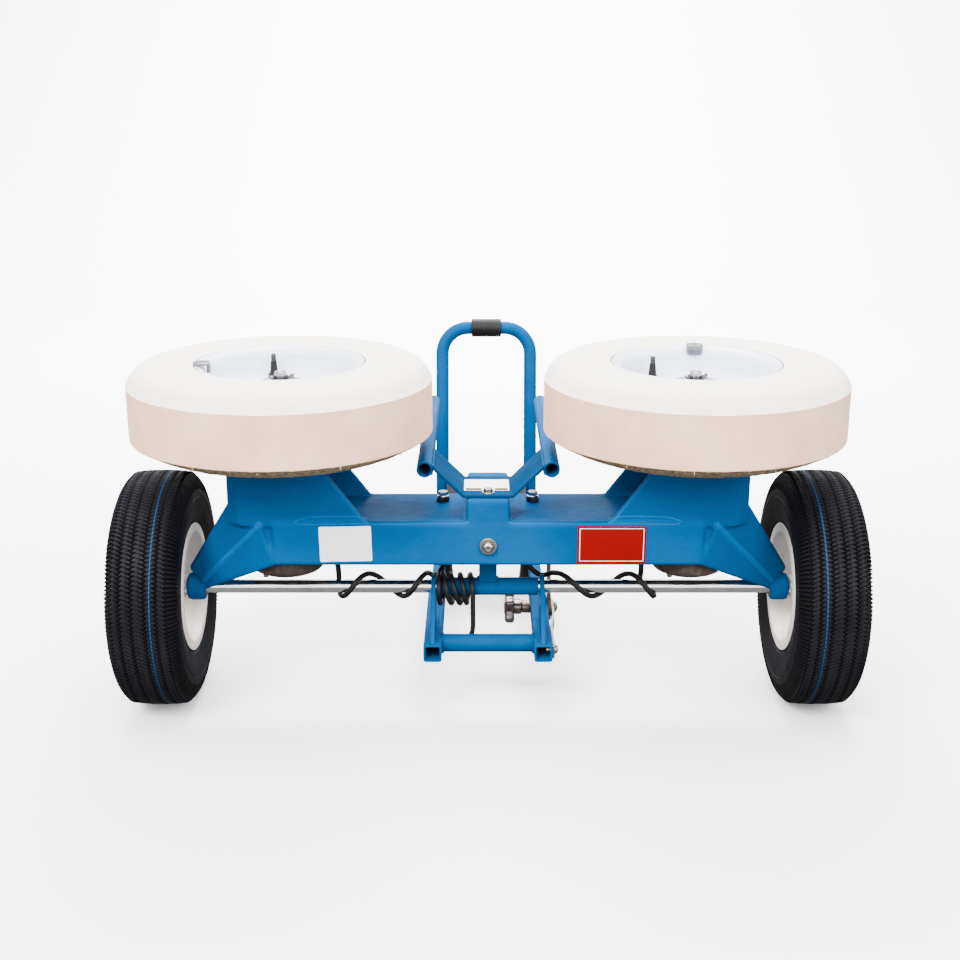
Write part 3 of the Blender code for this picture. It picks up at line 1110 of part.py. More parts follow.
def make_leads():
    half = Vector(JOINT_HALF)
    joint = box_between("lead_joint", JOINT_AT - half,
                        (JOINT_AT.x + half.x, JOINT_AT.y + half.y, BEAM_Z0 - GAP), HEAD, BLACK)
    bevelled(joint, 0.002, 1)
    for side, d in SIDES.items():
        out, exit_at = motor_exit(side)
        start = exit_at + out * 0.001
        first = [start, start + out * 0.012, start + out * 0.019 + Vector((0, 0, -0.004))]
        if side == "left":
            over_axle = [(-0.0885, 0.0020, 0.0176), (-0.0850, 0.0145, 0.0145), (-0.0775, 0.0240, 0.0075),
                         (-0.0690, 0.0268, 0.0100), (-0.0650, 0.0285, 0.0200)]
            under_beam = [(-0.0710, 0.0330, -0.0225), (-0.0735, 0.0370, -0.0125)]
        else:
            over_axle = [(0.1030, 0.0020, 0.0176), (0.0925, 0.0150, 0.0145), (0.0780, 0.0240, 0.0075),
                         (0.0670, 0.0270, 0.0120), (0.0560, 0.0290, 0.0230)]
            under_beam = [(0.0450, 0.0330, -0.0220), (0.0280, 0.0370, -0.0140), (0.0, 0.0380, -0.0100)]
        into_joint = JOINT_AT + Vector((d * (JOINT_HALF[0] + GAP), 0, 0))
        last = ([(x, y, AXLE_Z + z) for x, y, z in over_axle]
                + [(x, y, BEAM_Z0 + z) for x, y, z in under_beam])
        if side == "left":
            last.append(into_joint - Vector((0.0062, 0, 0)))
        last.append(into_joint)
        leaving = (d * (WRAP_X[side][0] + 0.001), WRAP_R + 0.0008, AXLE_Z + 0.023)
        route = first + [leaving] + wrap_points(side) + last
        path = smooth_curve(route, 0.0095)
        lead = tube_along(f"motor_lead_{side}", path, LEAD_R, HEAD, BLACK, resolution=1)
        gap = least_gap(path, LEAD_R, COIL_POINTS)
        length = sum((b - a).length for a, b in zip(path, path[1:]))
        print(f"motor_lead_{side}: length {length:.3f} m, least gap to itself {gap * 1000:.2f} mm")
        lead["length_m"] = round(length, 4)
    coil = coil_points()
    down = [JOINT_AT + Vector((-0.004, -JOINT_HALF[1] - 2 * GAP, 0.0005)),
            JOINT_AT + Vector((-0.004, -0.0150, 0.0004)), (-0.0560, 0.0180, BEAM_Z0 - 0.0140),
            (-0.0590, 0.0172, AXLE_Z + 0.0320), (-0.0640, 0.0145, AXLE_Z + 0.0240),
            (-0.0682, 0.0080, AXLE_Z + 0.0187), coil[0]]
    path = smooth_curve(down, 0.006)[:-1] + coil
    end = Vector((coil[-1].x, coil[-1].y - 0.0002, coil[-1].z - 0.010))
    path.append(end)
    gap = least_gap(coil, LEAD_R, COIL_POINTS)
    length = sum((b - a).length for a, b in zip(path, path[1:]))
    print(f"control_lead_coil: length {length:.3f} m, least gap to itself {gap * 1000:.2f} mm")
    tube_along("control_lead_coil", path, LEAD_R, HEAD, BLACK, resolution=1)
    below = RAIL_Z - RAIL_SIDE / 2 - LEAD_R - GAP
    gland_tip = Vector(on_posts(GLAND_AT[0], GLAND_AT[1] - 0.006, GLAND_AT[2]))
    gland_out = gland_tip - Vector(on_posts(GLAND_AT[0], GLAND_AT[1], GLAND_AT[2]))
    run = [end + Vector((0, 0, -GAP)), end + Vector((0, 0, -0.015)), (end.x, end.y, RAIL_Z + 0.0174),
           (end.x - 0.003, end.y + 0.0005, RAIL_Z + 0.0044), (-0.034, end.y + 0.003, RAIL_Z - 0.0036),
           (-0.048, -0.012, RAIL_Z - 0.0096),
           (-0.062, -0.002, below + 0.001), (-0.0735, 0.016, below), (-RAIL_X, 0.045, below),
           (-RAIL_X, 0.120, below), (-RAIL_X, 0.200, below), (-RAIL_X, 0.280, below), (-0.0745, 0.325, below),
           (-0.064, 0.352, below + 0.003), tuple(gland_tip + gland_out * 4.0), tuple(gland_tip + gland_out),
           tuple(gland_tip)]
    path = smooth_curve(run, 0.014)
    length = sum((b - a).length for a, b in zip(path, path[1:]))
    print(f"control_lead_run: length {length:.3f} m")
    tube_along("control_lead_run", path, LEAD_R, LAUNCHER, BLACK, resolution=1)


make_casting()
make_pivot()
make_chute()
make_motors()
make_throwing_wheels()
make_transport_wheels()
make_quadrant()
make_base_front()
make_clamp()
make_rear_frame()
make_control_box()
make_leads()
LAUNCHER.location.y -= CENTRE_Y
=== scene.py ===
"""Soccer ball launcher: the pieces and finishes seen in the picture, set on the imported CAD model.

The frame is loaded first, and every piece rides on the CAD body that it belongs to. Lengths are in metres,
+X runs along the axle, +Y to the back and +Z up. Helper shapes take places from the floor point under the
middle of the axle, and AXLE_SHIFT moves them into the model's own frame.
"""

import json
import math

import bmesh
import bpy
import numpy as np
from bpy.props import FloatProperty, FloatVectorProperty, IntProperty, PointerProperty
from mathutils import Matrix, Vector


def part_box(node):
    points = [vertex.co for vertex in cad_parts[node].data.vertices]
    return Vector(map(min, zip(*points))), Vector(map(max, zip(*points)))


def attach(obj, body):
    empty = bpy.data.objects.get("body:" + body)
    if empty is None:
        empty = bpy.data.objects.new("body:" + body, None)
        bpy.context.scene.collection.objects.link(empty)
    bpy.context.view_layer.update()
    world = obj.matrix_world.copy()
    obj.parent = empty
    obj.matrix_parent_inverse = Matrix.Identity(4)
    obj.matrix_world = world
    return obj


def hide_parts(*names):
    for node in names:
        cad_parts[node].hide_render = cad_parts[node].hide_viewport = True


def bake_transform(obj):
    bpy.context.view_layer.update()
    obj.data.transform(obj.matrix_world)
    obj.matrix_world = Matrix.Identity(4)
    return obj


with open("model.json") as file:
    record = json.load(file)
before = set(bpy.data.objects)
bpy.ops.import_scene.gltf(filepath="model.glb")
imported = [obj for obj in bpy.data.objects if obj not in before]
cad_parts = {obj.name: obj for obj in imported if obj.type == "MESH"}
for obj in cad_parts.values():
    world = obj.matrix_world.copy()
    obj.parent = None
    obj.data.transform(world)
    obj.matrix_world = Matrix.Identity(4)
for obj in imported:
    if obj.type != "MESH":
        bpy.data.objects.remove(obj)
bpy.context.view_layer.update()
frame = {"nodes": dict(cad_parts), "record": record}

bl_info = {
    "name": "Soccer ball launcher",
    "version": (1, 0, 0),
    "blender": (4, 5, 0),
    "location": "View3D > Sidebar > Launcher",
    "description": "Builds the pieces and finishes of a two-wheel ball launcher round its CAD frame",
    "category": "Object",
}


def middle(node):
    """Middle of a CAD node's box, in the model's own frame."""
    low, high = (np.array(corner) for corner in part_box(node))
    return (low + high) / 2


SIDES = {"left": -1, "right": 1}
LOOKS = {}
AXLE_SHIFT = np.array([0.0, middle("axle")[1], 0.0])
THROW = {side: middle(f"throw_tyre_{side}") - AXLE_SHIFT for side in SIDES}
WHEEL = {side: middle(f"wheel_tyre_{side}") - AXLE_SHIFT for side in SIDES}


def spot(node):
    """A node's middle from the floor under the axle, to the nearest thousandth of a millimetre."""
    return np.round(middle(node) - AXLE_SHIFT, 6)


# Places taken from the frame, for the right side where a piece has two sides

AXLE_Z = spot("axle")[2]
MOTOR_X, MOTOR_Y, THROW_Z = spot("throw_tyre_right")
RAIL_X, _, RAIL_Z = spot("front_rail_right")
CROSS_Y = spot("cross_tube")[1]
CLAMP_Y = spot("clamp_boss")[1]
CHUTE_X, _, CHUTE_Z = spot("chute_tube_right")
PIVOT_Z = spot("pivot_bolt")[2]
STRAP_Y = spot("strap_bolt")[1]
HANDLE_TOP = spot("handle_grip")[2]
DIAL_X = spot("speed_dial_right")[0]

# Sizes that several pieces share, in metres, and two slopes

AXLE_R = 0.009525
TUBE_R = 0.0127
POST_R = 0.0111
BEAM_FRONT = -0.0703
RIM_SEAT = 0.0225
POST_Y = 0.478
POST_LEAN = math.radians(13.6)
FOOT_Z = 0.013
BOX_Z = 0.124
GLAND_SLOPE = math.radians(30)
GLAND_Z = 0.2085
MOTOR_R = 0.050
MOTOR_TOP = 0.3395
LEAD_R = 0.00325
MOTOR_CABLE_R = 0.0039
CONTROL_CABLE_R = 0.0036


# Mesh helpers: whole arrays of points, joined by index arrays

SEAM = 0.000002
CAD_SEAM = 0.00001


def quads(rows, columns, wrap_rows=False, wrap_columns=True):
    """Corner numbers of the faces of a grid: (i, j), (i+1, j), (i+1, j+1), (i, j+1), wrapping where asked."""
    i, j = np.meshgrid(np.arange(rows if wrap_rows else rows - 1),
                       np.arange(columns if wrap_columns else columns - 1), indexing="ij")
    i2 = (i + 1) % rows
    j2 = (j + 1) % columns
    corners = [i * columns + j, i2 * columns + j, i2 * columns + j2, i * columns + j2]
    return np.stack(corners, -1).reshape(-1, 4)


def put(name, points, faces, look, body, nodes=(), angle=35.0, zones=None, more=()):
    """Makes the mesh object, closes its seams and poles, turns its faces outwards and fits it to its body."""
    points = np.asarray(points, float).reshape(-1, 3) + AXLE_SHIFT
    mesh = bpy.data.meshes.new(name)
    mesh.from_pydata(points.tolist(), [], faces.tolist() if hasattr(faces, "tolist") else faces)
    for one in (look, *more):
        mesh.materials.append(LOOKS[one])
    if zones is not None:
        mesh.polygons.foreach_set("material_index", np.asarray(zones, np.int32))
    bm = bmesh.new()
    bm.from_mesh(mesh)
    bmesh.ops.remove_doubles(bm, verts=bm.verts, dist=SEAM)
    bmesh.ops.recalc_face_normals(bm, faces=bm.faces)
    bm.to_mesh(mesh)
    bm.free()
    return place(bpy.data.objects.new(name, mesh), body, nodes, angle)


def place(obj, body, nodes, angle):
    """Links an object, smooths it up to the given edge angle, attaches it to its body and hides the CAD nodes
    that it stands for.
    """
    bpy.context.scene.collection.objects.link(obj)
    obj.data.shade_smooth()
    obj.data.set_sharp_from_angle(angle=math.radians(angle))
    if body is not None:
        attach(obj, body)
    nodes = (nodes,) if isinstance(nodes, str) else tuple(nodes)
    if nodes:
        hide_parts(*nodes)
    return obj


def frame_of(axis):
    """Two directions square to the axis, so that u, v and axis are right-handed."""
    axis = np.asarray(axis, float)
    axis = axis / np.linalg.norm(axis)
    helper = np.array([0.0, 0.0, 1.0]) if abs(axis[2]) < 0.9 else np.array([1.0, 0.0, 0.0])
    u = np.cross(helper, axis)
    u /= np.linalg.norm(u)
    return u, np.cross(axis, u), axis


AXES = {"x": (1, 0, 0), "y": (0, 1, 0), "z": (0, 0, 1), "-x": (-1, 0, 0), "-y": (0, -1, 0), "-z": (0, 0, -1)}


def rounded(points, radius, steps=3, closed=False):
    """Softens each corner B of a line of points with P(t) = (1-t)^2 A + 2t(1-t) B + t^2 C, where A and C lie
    on the two sides at the given radius from B, or nearer on a short side."""
    p = np.asarray(points, float)
    before = np.roll(p, 1, 0)
    after = np.roll(p, -1, 0)
    size = np.broadcast_to(np.asarray(radius, float), (len(p),))

    def reach(other):
        gap = np.linalg.norm(other - p, axis=1)
        return (np.minimum(size, 0.48 * gap) / np.maximum(gap, 1e-9))[:, None]

    a = p + (before - p) * reach(before)
    c = p + (after - p) * reach(after)
    t = np.linspace(0, 1, steps + 1)[None, :, None]
    soft = (1 - t) ** 2 * a[:, None] + 2 * t * (1 - t) * p[:, None] + t ** 2 * c[:, None]
    if closed:
        return soft.reshape(-1, p.shape[1])
    return np.concatenate([p[:1], soft[1:-1].reshape(-1, p.shape[1]), p[-1:]])


def turned(name, profile, centre, axis, look, body, nodes=(), steps=72, closed=False, soft=0.0):
    """Turned piece: P(s, t) = centre + r(s) (u cos t + v sin t) + h(s) axis, for (r, h) pairs, whose corners
    are rounded by soft."""
    profile = rounded(profile, soft, 3, closed) if soft > 0 else np.asarray(profile, float)
    u, v, w = frame_of(AXES[axis] if isinstance(axis, str) else axis)
    t = np.linspace(0, 2 * np.pi, steps, endpoint=False)
    ring = np.cos(t)[:, None] * u + np.sin(t)[:, None] * v
    points = np.asarray(centre, float) + profile[:, None, :1] * ring + profile[:, None, 1:] * w
    return put(name, points, quads(len(profile), steps, closed), look, body, nodes)


def smooth_path(route, step):
    """Points about one step apart on a Catmull-Rom curve:
    P(t) = [2P1 + (P2-P0)t + (2P0-5P1+4P2-P3)t^2 + (3P1-P0-3P2+P3)t^3] / 2 on each stretch."""
    p = np.asarray(route, float)
    p = np.concatenate([[2 * p[0] - p[1]], p, [2 * p[-1] - p[-2]]])
    out = []
    for p0, p1, p2, p3 in zip(p, p[1:], p[2:], p[3:]):
        count = max(1, round(float(np.linalg.norm(p2 - p1)) / step))
        t = (np.arange(count) / count)[:, None]
        out.append(0.5 * (2 * p1 + (p2 - p0) * t + (2 * p0 - 5 * p1 + 4 * p2 - p3) * t ** 2
                          + (3 * p1 - p0 - 3 * p2 + p3) * t ** 3))
    return np.concatenate(out + [p[-2:-1]])


def swept(name, path, radius, look, body, nodes=(), sides=16, flat=1.0):
    """A tube along a path: P(s, t) = C(s) + r(s) (n cos t + f b sin t), with n carried along without twist
    and f the share of its width that b gets. Its ends are closed by short rings that shrink to the middle
    line."""
    path = np.asarray(path, float)
    tangent = np.gradient(path, axis=0)
    tangent /= np.linalg.norm(tangent, axis=1)[:, None]
    normal = np.empty_like(path)
    normal[0] = frame_of(tangent[0])[0]
    for i in range(1, len(path)):
        carried = normal[i - 1] - tangent[i] * np.dot(normal[i - 1], tangent[i])
        normal[i] = carried / np.linalg.norm(carried)
    across = np.cross(tangent, normal)
    size = np.broadcast_to(np.asarray(radius, float), (len(path),))
    t = np.linspace(0, 2 * np.pi, sides, endpoint=False)
    ring = (np.cos(t)[None, :, None] * normal[:, None] + flat * np.sin(t)[None, :, None] * across[:, None])
    points = path[:, None] + size[:, None, None] * ring
    soft = np.array([0.0, 0.86])[:, None, None]
    start = path[0] + soft * (points[:1] - path[0])
    end = path[-1] + soft[::-1] * (points[-1:] - path[-1])
    points = np.concatenate([start, points, end])
    return put(name, points, quads(len(points), sides), look, body, nodes, 60.0)


PLANES = {"xz": ((1, 0, 0), (0, 0, 1), (0, 1, 0)), "yz": ((0, 1, 0), (0, 0, 1), (1, 0, 0)),
          "xy": ((1, 0, 0), (0, 1, 0), (0, 0, 1))}


def outset(outline, amount):
    """Moves each point of a closed outline outwards along the mean of its two sides' normals."""
    side = np.roll(outline, -1, 0) - outline
    normal = np.stack([side[:, 1], -side[:, 0]], 1) / np.maximum(np.linalg.norm(side, axis=1), 1e-9)[:, None]
    both = normal + np.roll(normal, 1, 0)
    both /= np.maximum((both * both).sum(1) / 2, 0.3)[:, None]
    area = np.sum(outline[:, 0] * np.roll(outline[:, 1], -1) - np.roll(outline[:, 0], -1) * outline[:, 1])
    return outline + both * amount * np.sign(area)


def slab(name, outline, low, high, look, body, nodes=(), plane="xy", edge=0.001, hole=None, basis=None,
         origin=(0, 0, 0)):
    """A flat outline carried from low to high with rounded edges: the outline at depth d from an end is inset
    by e - sqrt(e^2 - (e-d)^2). A hole makes it a tube, whose wall returns along the hole's outline."""
    outline = np.asarray(outline, float)
    a, b, c = (np.asarray(v, float) for v in (basis or PLANES[plane]))
    turn = np.linspace(0, np.pi / 2, 4)
    inset = edge * (1 - np.sin(turn))
    depth = edge * (1 - np.cos(turn))
    rings = [(outset(outline, -i), low + d) for i, d in zip(inset, depth)]
    rings += [(outset(outline, -i), high - d) for i, d in zip(inset[::-1], depth[::-1])]
    if hole is not None:
        rings += [(np.asarray(hole, float), high), (np.asarray(hole, float), low)]
    start = np.asarray(origin, float)
    points = np.concatenate([start + r[:, :1] * a + r[:, 1:] * b + h * c for r, h in rings])
    faces = quads(len(rings), len(outline), wrap_rows=hole is not None).tolist()
    if hole is None:
        faces += [list(range(len(outline)))[::-1], list(range(len(points) - len(outline), len(points)))]
    return put(name, points, faces, look, body, nodes)


def box_outline(u0, u1, v0, v1, corner):
    """A rectangle with rounded corners."""
    return rounded([(u0, v0), (u1, v0), (u1, v1), (u0, v1)], corner, 4, closed=True)


def ring_outline(centre, radius, sides):
    """A circle: (x, y) = centre + r (cos t, sin t)."""
    t = np.linspace(0, 2 * np.pi, sides, endpoint=False)
    return np.stack([centre[0] + radius * np.cos(t), centre[1] + radius * np.sin(t)], 1)


def dressed(node, look, edge, angle=30.0, dissolve=0.6, name=None):
    """A CAD node's own shape, merged, with its flat facets made whole and its edges rounded."""
    source = frame["nodes"][node]
    mesh = source.data.copy()
    mesh.name = name or f"{node}_shape"
    bm = bmesh.new()
    bm.from_mesh(mesh)
    bmesh.ops.remove_doubles(bm, verts=bm.verts, dist=CAD_SEAM)
    bmesh.ops.dissolve_limit(bm, angle_limit=math.radians(dissolve), verts=bm.verts, edges=bm.edges)
    bm.to_mesh(mesh)
    bm.free()
    mesh.materials.clear()
    mesh.materials.append(LOOKS[look])
    obj = bpy.data.objects.new(mesh.name, mesh)
    body = next(b for b, nodes in frame["record"]["behaviour"]["bodies"].items() if node in nodes)
    place(obj, body, node, angle)
    if edge:
        add_modifier(obj, "BEVEL", width=edge, segments=2, limit_method="ANGLE",
                     angle_limit=math.radians(angle), use_clamp_overlap=True)
    return obj


def add_modifier(obj, kind, **values):
    """Adds a modifier and sets its values."""
    modifier = obj.modifiers.new(kind.lower(), kind)
    for key, value in values.items():
        setattr(modifier, key, value)


def hexagon(half, t):
    """Radius of a hexagon at the angles t: half its width across flats / cos(t mod 60 - 30)."""
    return half / np.cos((t + np.pi / 6) % (np.pi / 3) - np.pi / 6)


def hex_head(name, centre, axis, across, height, look, body):
    """A hexagon head with a turned chamfer: each level's radius is the lesser of the hexagon and a cone."""
    steps = 72
    t = np.linspace(0, 2 * np.pi, steps, endpoint=False)
    flat = hexagon(across / 2, t)
    u, v, w = frame_of(AXES[axis] if isinstance(axis, str) else axis)
    ring = np.cos(t)[:, None] * u + np.sin(t)[:, None] * v
    levels = np.array([0.0, 0.0, 0.0, 0.55, 0.8, 0.93, 1.0, 1.0])
    limits = np.array([0.0, 0.5, 2.0, 2.0, 1.1, 1.04, 0.98, 0.0]) * across / 2
    radius = np.minimum(flat[None, :], limits[:, None])
    rise = (levels * height)[:, None, None] * w
    points = np.asarray(centre, float) + radius[:, :, None] * ring[None] + rise
    return put(name, points, quads(len(levels), steps), look, body, angle=20.0)


def bolt(name, seat, axis, across, height, washer_r, washer_t, look, body, nodes, shank):
    """A washer with the shank (radius, length) under it, and a hexagon head. The washer stands for the
    CAD node."""
    turned(f"{name}_washer", [(0, -shank[1]), (shank[0], -shank[1]), (shank[0], 0), (washer_r, 0),
                              (washer_r, washer_t), (0, washer_t)], seat, axis, look, body, nodes, 48,
           soft=washer_t * 0.3)
    w = frame_of(AXES[axis] if isinstance(axis, str) else axis)[2]
    hex_head(f"{name}_head", np.asarray(seat, float) + w * washer_t, axis, across, height, look, body)


def weld(name, path, size, look, body, pitch=0.0026):
    """A weld bead: a tube whose radius ripples as r = size (0.92 + 0.16 |sin(pi s / pitch)|)."""
    path = smooth_path(path, pitch / 5)
    s = np.concatenate([[0], np.cumsum(np.linalg.norm(np.diff(path, axis=0), axis=1))])
    return swept(name, path, size * (0.92 + 0.16 * np.abs(np.sin(np.pi * s / pitch))), look, body, sides=10)


# Settings that the panel shows

class LauncherSettings(bpy.types.PropertyGroup):
    """Colours, counts and camera of the launcher; the operators read them when they run."""

    blue: FloatVectorProperty(name="Blue", description="Colour of the cast and powder paint", subtype="COLOR",
                              size=3, min=0.0, max=1.0, default=(0.0, 0.062, 0.190))
    cream: FloatVectorProperty(name="Side wall", description="Colour of the throwing tyres' side walls",
                               subtype="COLOR", size=3, min=0.0, max=1.0, default=(0.82, 0.775, 0.72))
    tread: FloatVectorProperty(name="Ground tread", description="Colour of the throwing tyres' ground treads",
                               subtype="COLOR", size=3, min=0.0, max=1.0, default=(0.74, 0.38, 0.225))
    white: FloatVectorProperty(name="Throwing rim", description="Colour of the throwing rims",
                               subtype="COLOR", size=3, min=0.0, max=1.0, default=(0.66, 0.69, 0.81))
    beige: FloatVectorProperty(name="Transport rim", description="Colour of the transport rims",
                               subtype="COLOR", size=3, min=0.0, max=1.0, default=(0.76, 0.68, 0.62))
    rubber: FloatVectorProperty(name="Tyre rubber", description="Colour of the transport tyres",
                                subtype="COLOR", size=3, min=0.0, max=1.0, default=(0.005, 0.005, 0.007))
    floor: FloatVectorProperty(name="Floor", description="Colour of the floor and backdrop", subtype="COLOR",
                               size=3, min=0.0, max=1.0, default=(0.90, 0.90, 0.90))
    teeth: IntProperty(name="Tread teeth", description="Zigzag teeth round each transport tyre", min=24,
                       max=172, default=168)
    zigzag: FloatProperty(name="Zigzag", description="Half height of the tread's zigzag", unit="LENGTH",
                          min=0.0, max=0.004, default=0.0019)
    groove: FloatProperty(name="Groove", description="Depth of the tread's grooves", unit="LENGTH", min=0.0,
                          max=0.006, default=0.0038)
    groove_width: FloatProperty(name="Groove width", description="Width of the tread's grooves",
                                unit="LENGTH", min=0.0008, max=0.004, default=0.0026)
    sipe: FloatProperty(name="Sipe", description="Depth of the small cuts in the tread's ribs", unit="LENGTH",
                        min=0.0, max=0.004, default=0.0022)
    fin: FloatProperty(name="Fin", description="Depth of the shoulder's radial fins", unit="LENGTH", min=0.0,
                       max=0.003, default=0.0022)
    lobes: IntProperty(name="Knob lobes", description="Lobes of the clamp knob", min=3, max=9, default=5)
    casting_grid: FloatProperty(name="Casting grid", description="Grid of the casting's rounded skin",
                                unit="LENGTH", min=0.0022, max=0.006, default=0.0025)
    casting_soft: IntProperty(name="Casting softness", description="Smoothing passes over the casting's skin",
                              min=0, max=30, default=5)
    lens: FloatProperty(name="Lens", description="Camera lens in millimetres", min=20.0, max=120.0,
                        default=51.55)
    pitch: FloatProperty(name="Pitch", description="How far the camera looks down", unit="ROTATION", min=0.0,
                         max=1.2, default=math.radians(16.94))
    eye: FloatVectorProperty(name="Camera", description="Camera place from the floor under the axle's middle",
                             subtype="TRANSLATION", unit="LENGTH", size=3, default=(-0.011, -1.819, 0.876))


# Finishes: every one is worked out from Object coordinates

class Nodes:
    """Builds a material's node tree: add() makes a node, sets its sockets and links what it is given. A
    socket goes by its name, or by its number as in n0."""

    def __init__(self, name):
        self.material = bpy.data.materials.new(name)
        self.material.use_nodes = True
        self.tree = self.material.node_tree
        self.shader = next(n for n in self.tree.nodes if n.type == "BSDF_PRINCIPLED")
        self.places = self.add("ShaderNodeTexCoord").outputs["Object"]

    def add(self, kind, settings=None, **sockets):
        node = self.tree.nodes.new(kind)
        for key, value in (settings or {}).items():
            setattr(node, key, value)
        for key, value in sockets.items():
            numbered = key[0] == "n" and key[1:].isdigit()
            self.feed(node.inputs[int(key[1:]) if numbered else key], value)
        return node

    def feed(self, socket, value):
        """Links a socket to another node's output, or sets it to a value."""
        if isinstance(value, bpy.types.NodeSocket):
            self.tree.links.new(value, socket)
        else:
            socket.default_value = value

    def noise(self, scale, detail=4.0, roughness=0.55, stretch=None):
        """Noise over the object's own coordinates, which stretch scales along each axis."""
        source = self.places
        if stretch:
            source = self.add("ShaderNodeMapping", Vector=source, Scale=stretch).outputs["Vector"]
        return self.add("ShaderNodeTexNoise", Vector=source, Scale=scale, Detail=detail,
                        Roughness=roughness).outputs["Fac"]

    def spread(self, value, low, high, to_low=0.0, to_high=1.0):
        """Maps a value's range from low to high onto to_low to to_high, and clamps it."""
        return self.add("ShaderNodeMapRange", {"clamp": True}, n0=value, n1=low, n2=high, n3=to_low,
                        n4=to_high).outputs["Result"]

    def mix(self, factor, a, b):
        """Colour a where the factor is 0 and b where it is 1."""
        node = self.add("ShaderNodeMix", {"data_type": "RGBA"}, n0=factor)
        self.feed(node.inputs[6], a)
        self.feed(node.inputs[7], b)
        return node.outputs[2]

    def bump(self, height, distance, strength, under=None):
        """A relief of the given depth in metres, laid over another one where it is given."""
        node = self.add("ShaderNodeBump", Strength=strength, Distance=distance, Height=height)
        if under is not None:
            self.feed(node.inputs["Normal"], under)
        return node.outputs["Normal"]

    def done(self, colour, roughness, normal=None, metallic=0.0, **constants):
        """Feeds the shader; the constants go on its own sockets, by name with _ for a space."""
        self.feed(self.shader.inputs["Base Color"], colour)
        self.feed(self.shader.inputs["Roughness"], roughness)
        self.shader.inputs["Metallic"].default_value = metallic
        if normal is not None:
            self.feed(self.shader.inputs["Normal"], normal)
        for key, value in constants.items():
            self.shader.inputs[key.replace("_", " ")].default_value = value
        return self.material


def rgba(colour):
    """A colour with full alpha, as sockets take it."""
    return (*colour, 1.0)


def scaled(colour, share):
    """A colour times a factor."""
    return [c * share for c in colour]


def darker(colour, share):
    """A colour times a factor, with full alpha."""
    return rgba(scaled(colour, share))


FILM = (0.62, 0.62, 0.60)


def paint(name, colour, grain, depth, roughness, patch, dust=0.0, fade=0.82, sheen=0.3):
    """Satin paint: fine grain, slow patches of a deeper tone, and a thin film of dust."""
    n = Nodes(name)
    tone = n.mix(n.spread(n.noise(patch, 5.0), 0.38, 0.64), darker(colour, fade), rgba(colour))
    film = n.spread(n.noise(patch * 6, 8.0, 0.7), 0.48, 0.74, 0.0, dust)
    tone = n.mix(film, tone, rgba(FILM))
    fine = n.noise(grain, 3.0, 0.5)
    wide = n.noise(grain * 0.28, 3.0, 0.5)
    normal = n.bump(fine, depth, 0.55, n.bump(wide, depth * 3.0, 0.45))
    gloss = n.spread(n.noise(patch * 3, 6.0, 0.65), 0.3, 0.7, roughness - 0.06, roughness + 0.10)
    return n.done(tone, gloss, normal, Specular_IOR_Level=sheen)


def scuffed_paint(name, colour, scuff, amount):
    """Gloss paint with small dark rubs and grey smears."""
    n = Nodes(name)
    tone = n.mix(n.spread(n.noise(9.0, 5.0), 0.35, 0.65), darker(colour, 0.93), rgba(colour))
    smears = n.spread(n.noise(30.0, 8.0, 0.75, (1.0, 1.0, 0.35)), 0.60, 0.78, 0.0, amount)
    tone = n.mix(smears, tone, rgba(scuff))
    specks = n.spread(n.noise(210.0, 4.0, 0.7), 0.70, 0.76, 0.0, amount * 1.2)
    tone = n.mix(specks, tone, darker(scuff, 0.5))
    normal = n.bump(n.noise(340.0, 2.0), 0.00012, 0.4, n.bump(n.noise(60.0, 3.0), 0.0004, 0.35))
    gloss = n.spread(n.noise(24.0, 6.0, 0.7), 0.35, 0.7, 0.26, 0.48)
    return n.done(tone, gloss, normal)


def metal(name, colour, roughness, tarnish, amount, stretch=(1.0, 1.0, 1.0), fine=500.0, depth=0.00006):
    """Bare or plated metal: drawn or turned lines, blotches of tarnish and uneven gloss."""
    n = Nodes(name)
    blotch = n.spread(n.noise(38.0, 7.0, 0.7), 0.42, 0.70, 0.0, amount)
    tone = n.mix(blotch, rgba(colour), rgba(tarnish))
    lines = n.noise(fine, 3.0, 0.6, stretch)
    normal = n.bump(lines, depth, 0.6)
    gloss = n.spread(n.noise(90.0, 6.0, 0.7), 0.3, 0.72, roughness - 0.07, roughness + 0.12)
    return n.done(tone, gloss, normal, metallic=1.0)


def rubber(name, colour, dust, amount, roughness, grain=700.0, depth=0.00015, sheen=0.35):
    """Moulded rubber: matt, with fine pores and a pale bloom."""
    n = Nodes(name)
    bloom = n.spread(n.noise(16.0, 8.0, 0.72), 0.42, 0.72, 0.0, amount)
    tone = n.mix(bloom, rgba(colour), rgba(dust))
    normal = n.bump(n.noise(grain, 3.0, 0.6), depth, 0.5)
    gloss = n.spread(n.noise(40.0, 5.0), 0.3, 0.7, roughness - 0.08, roughness + 0.08)
    return n.done(tone, gloss, normal, Specular_IOR_Level=sheen)


def ground_rubber(name, colour, streak, side):
    """Cream tread ground flat by an abrasive drum: fine level scratches, faint bands and tiny torn pits."""
    n = Nodes(name)
    bands = n.spread(n.noise(34.0, 6.0, 0.6, (0.12, 0.12, 3.2)), 0.35, 0.68, 0.0, 0.45)
    tone = n.mix(bands, rgba(colour), rgba(streak))
    patches = n.spread(n.noise(11.0, 6.0, 0.65), 0.36, 0.66, 0.0, 0.35)
    tone = n.mix(patches, tone, rgba(side))
    pits = n.spread(n.noise(900.0, 3.0, 0.6), 0.66, 0.74, 0.0, 0.5)
    tone = n.mix(pits, tone, darker(streak, 0.75))
    scratches = n.noise(420.0, 4.0, 0.7, (0.05, 0.05, 1.0))
    normal = n.bump(scratches, 0.00018, 0.5, n.bump(n.noise(1100.0, 2.0), 0.00012, 0.5))
    return n.done(tone, 0.86, normal)


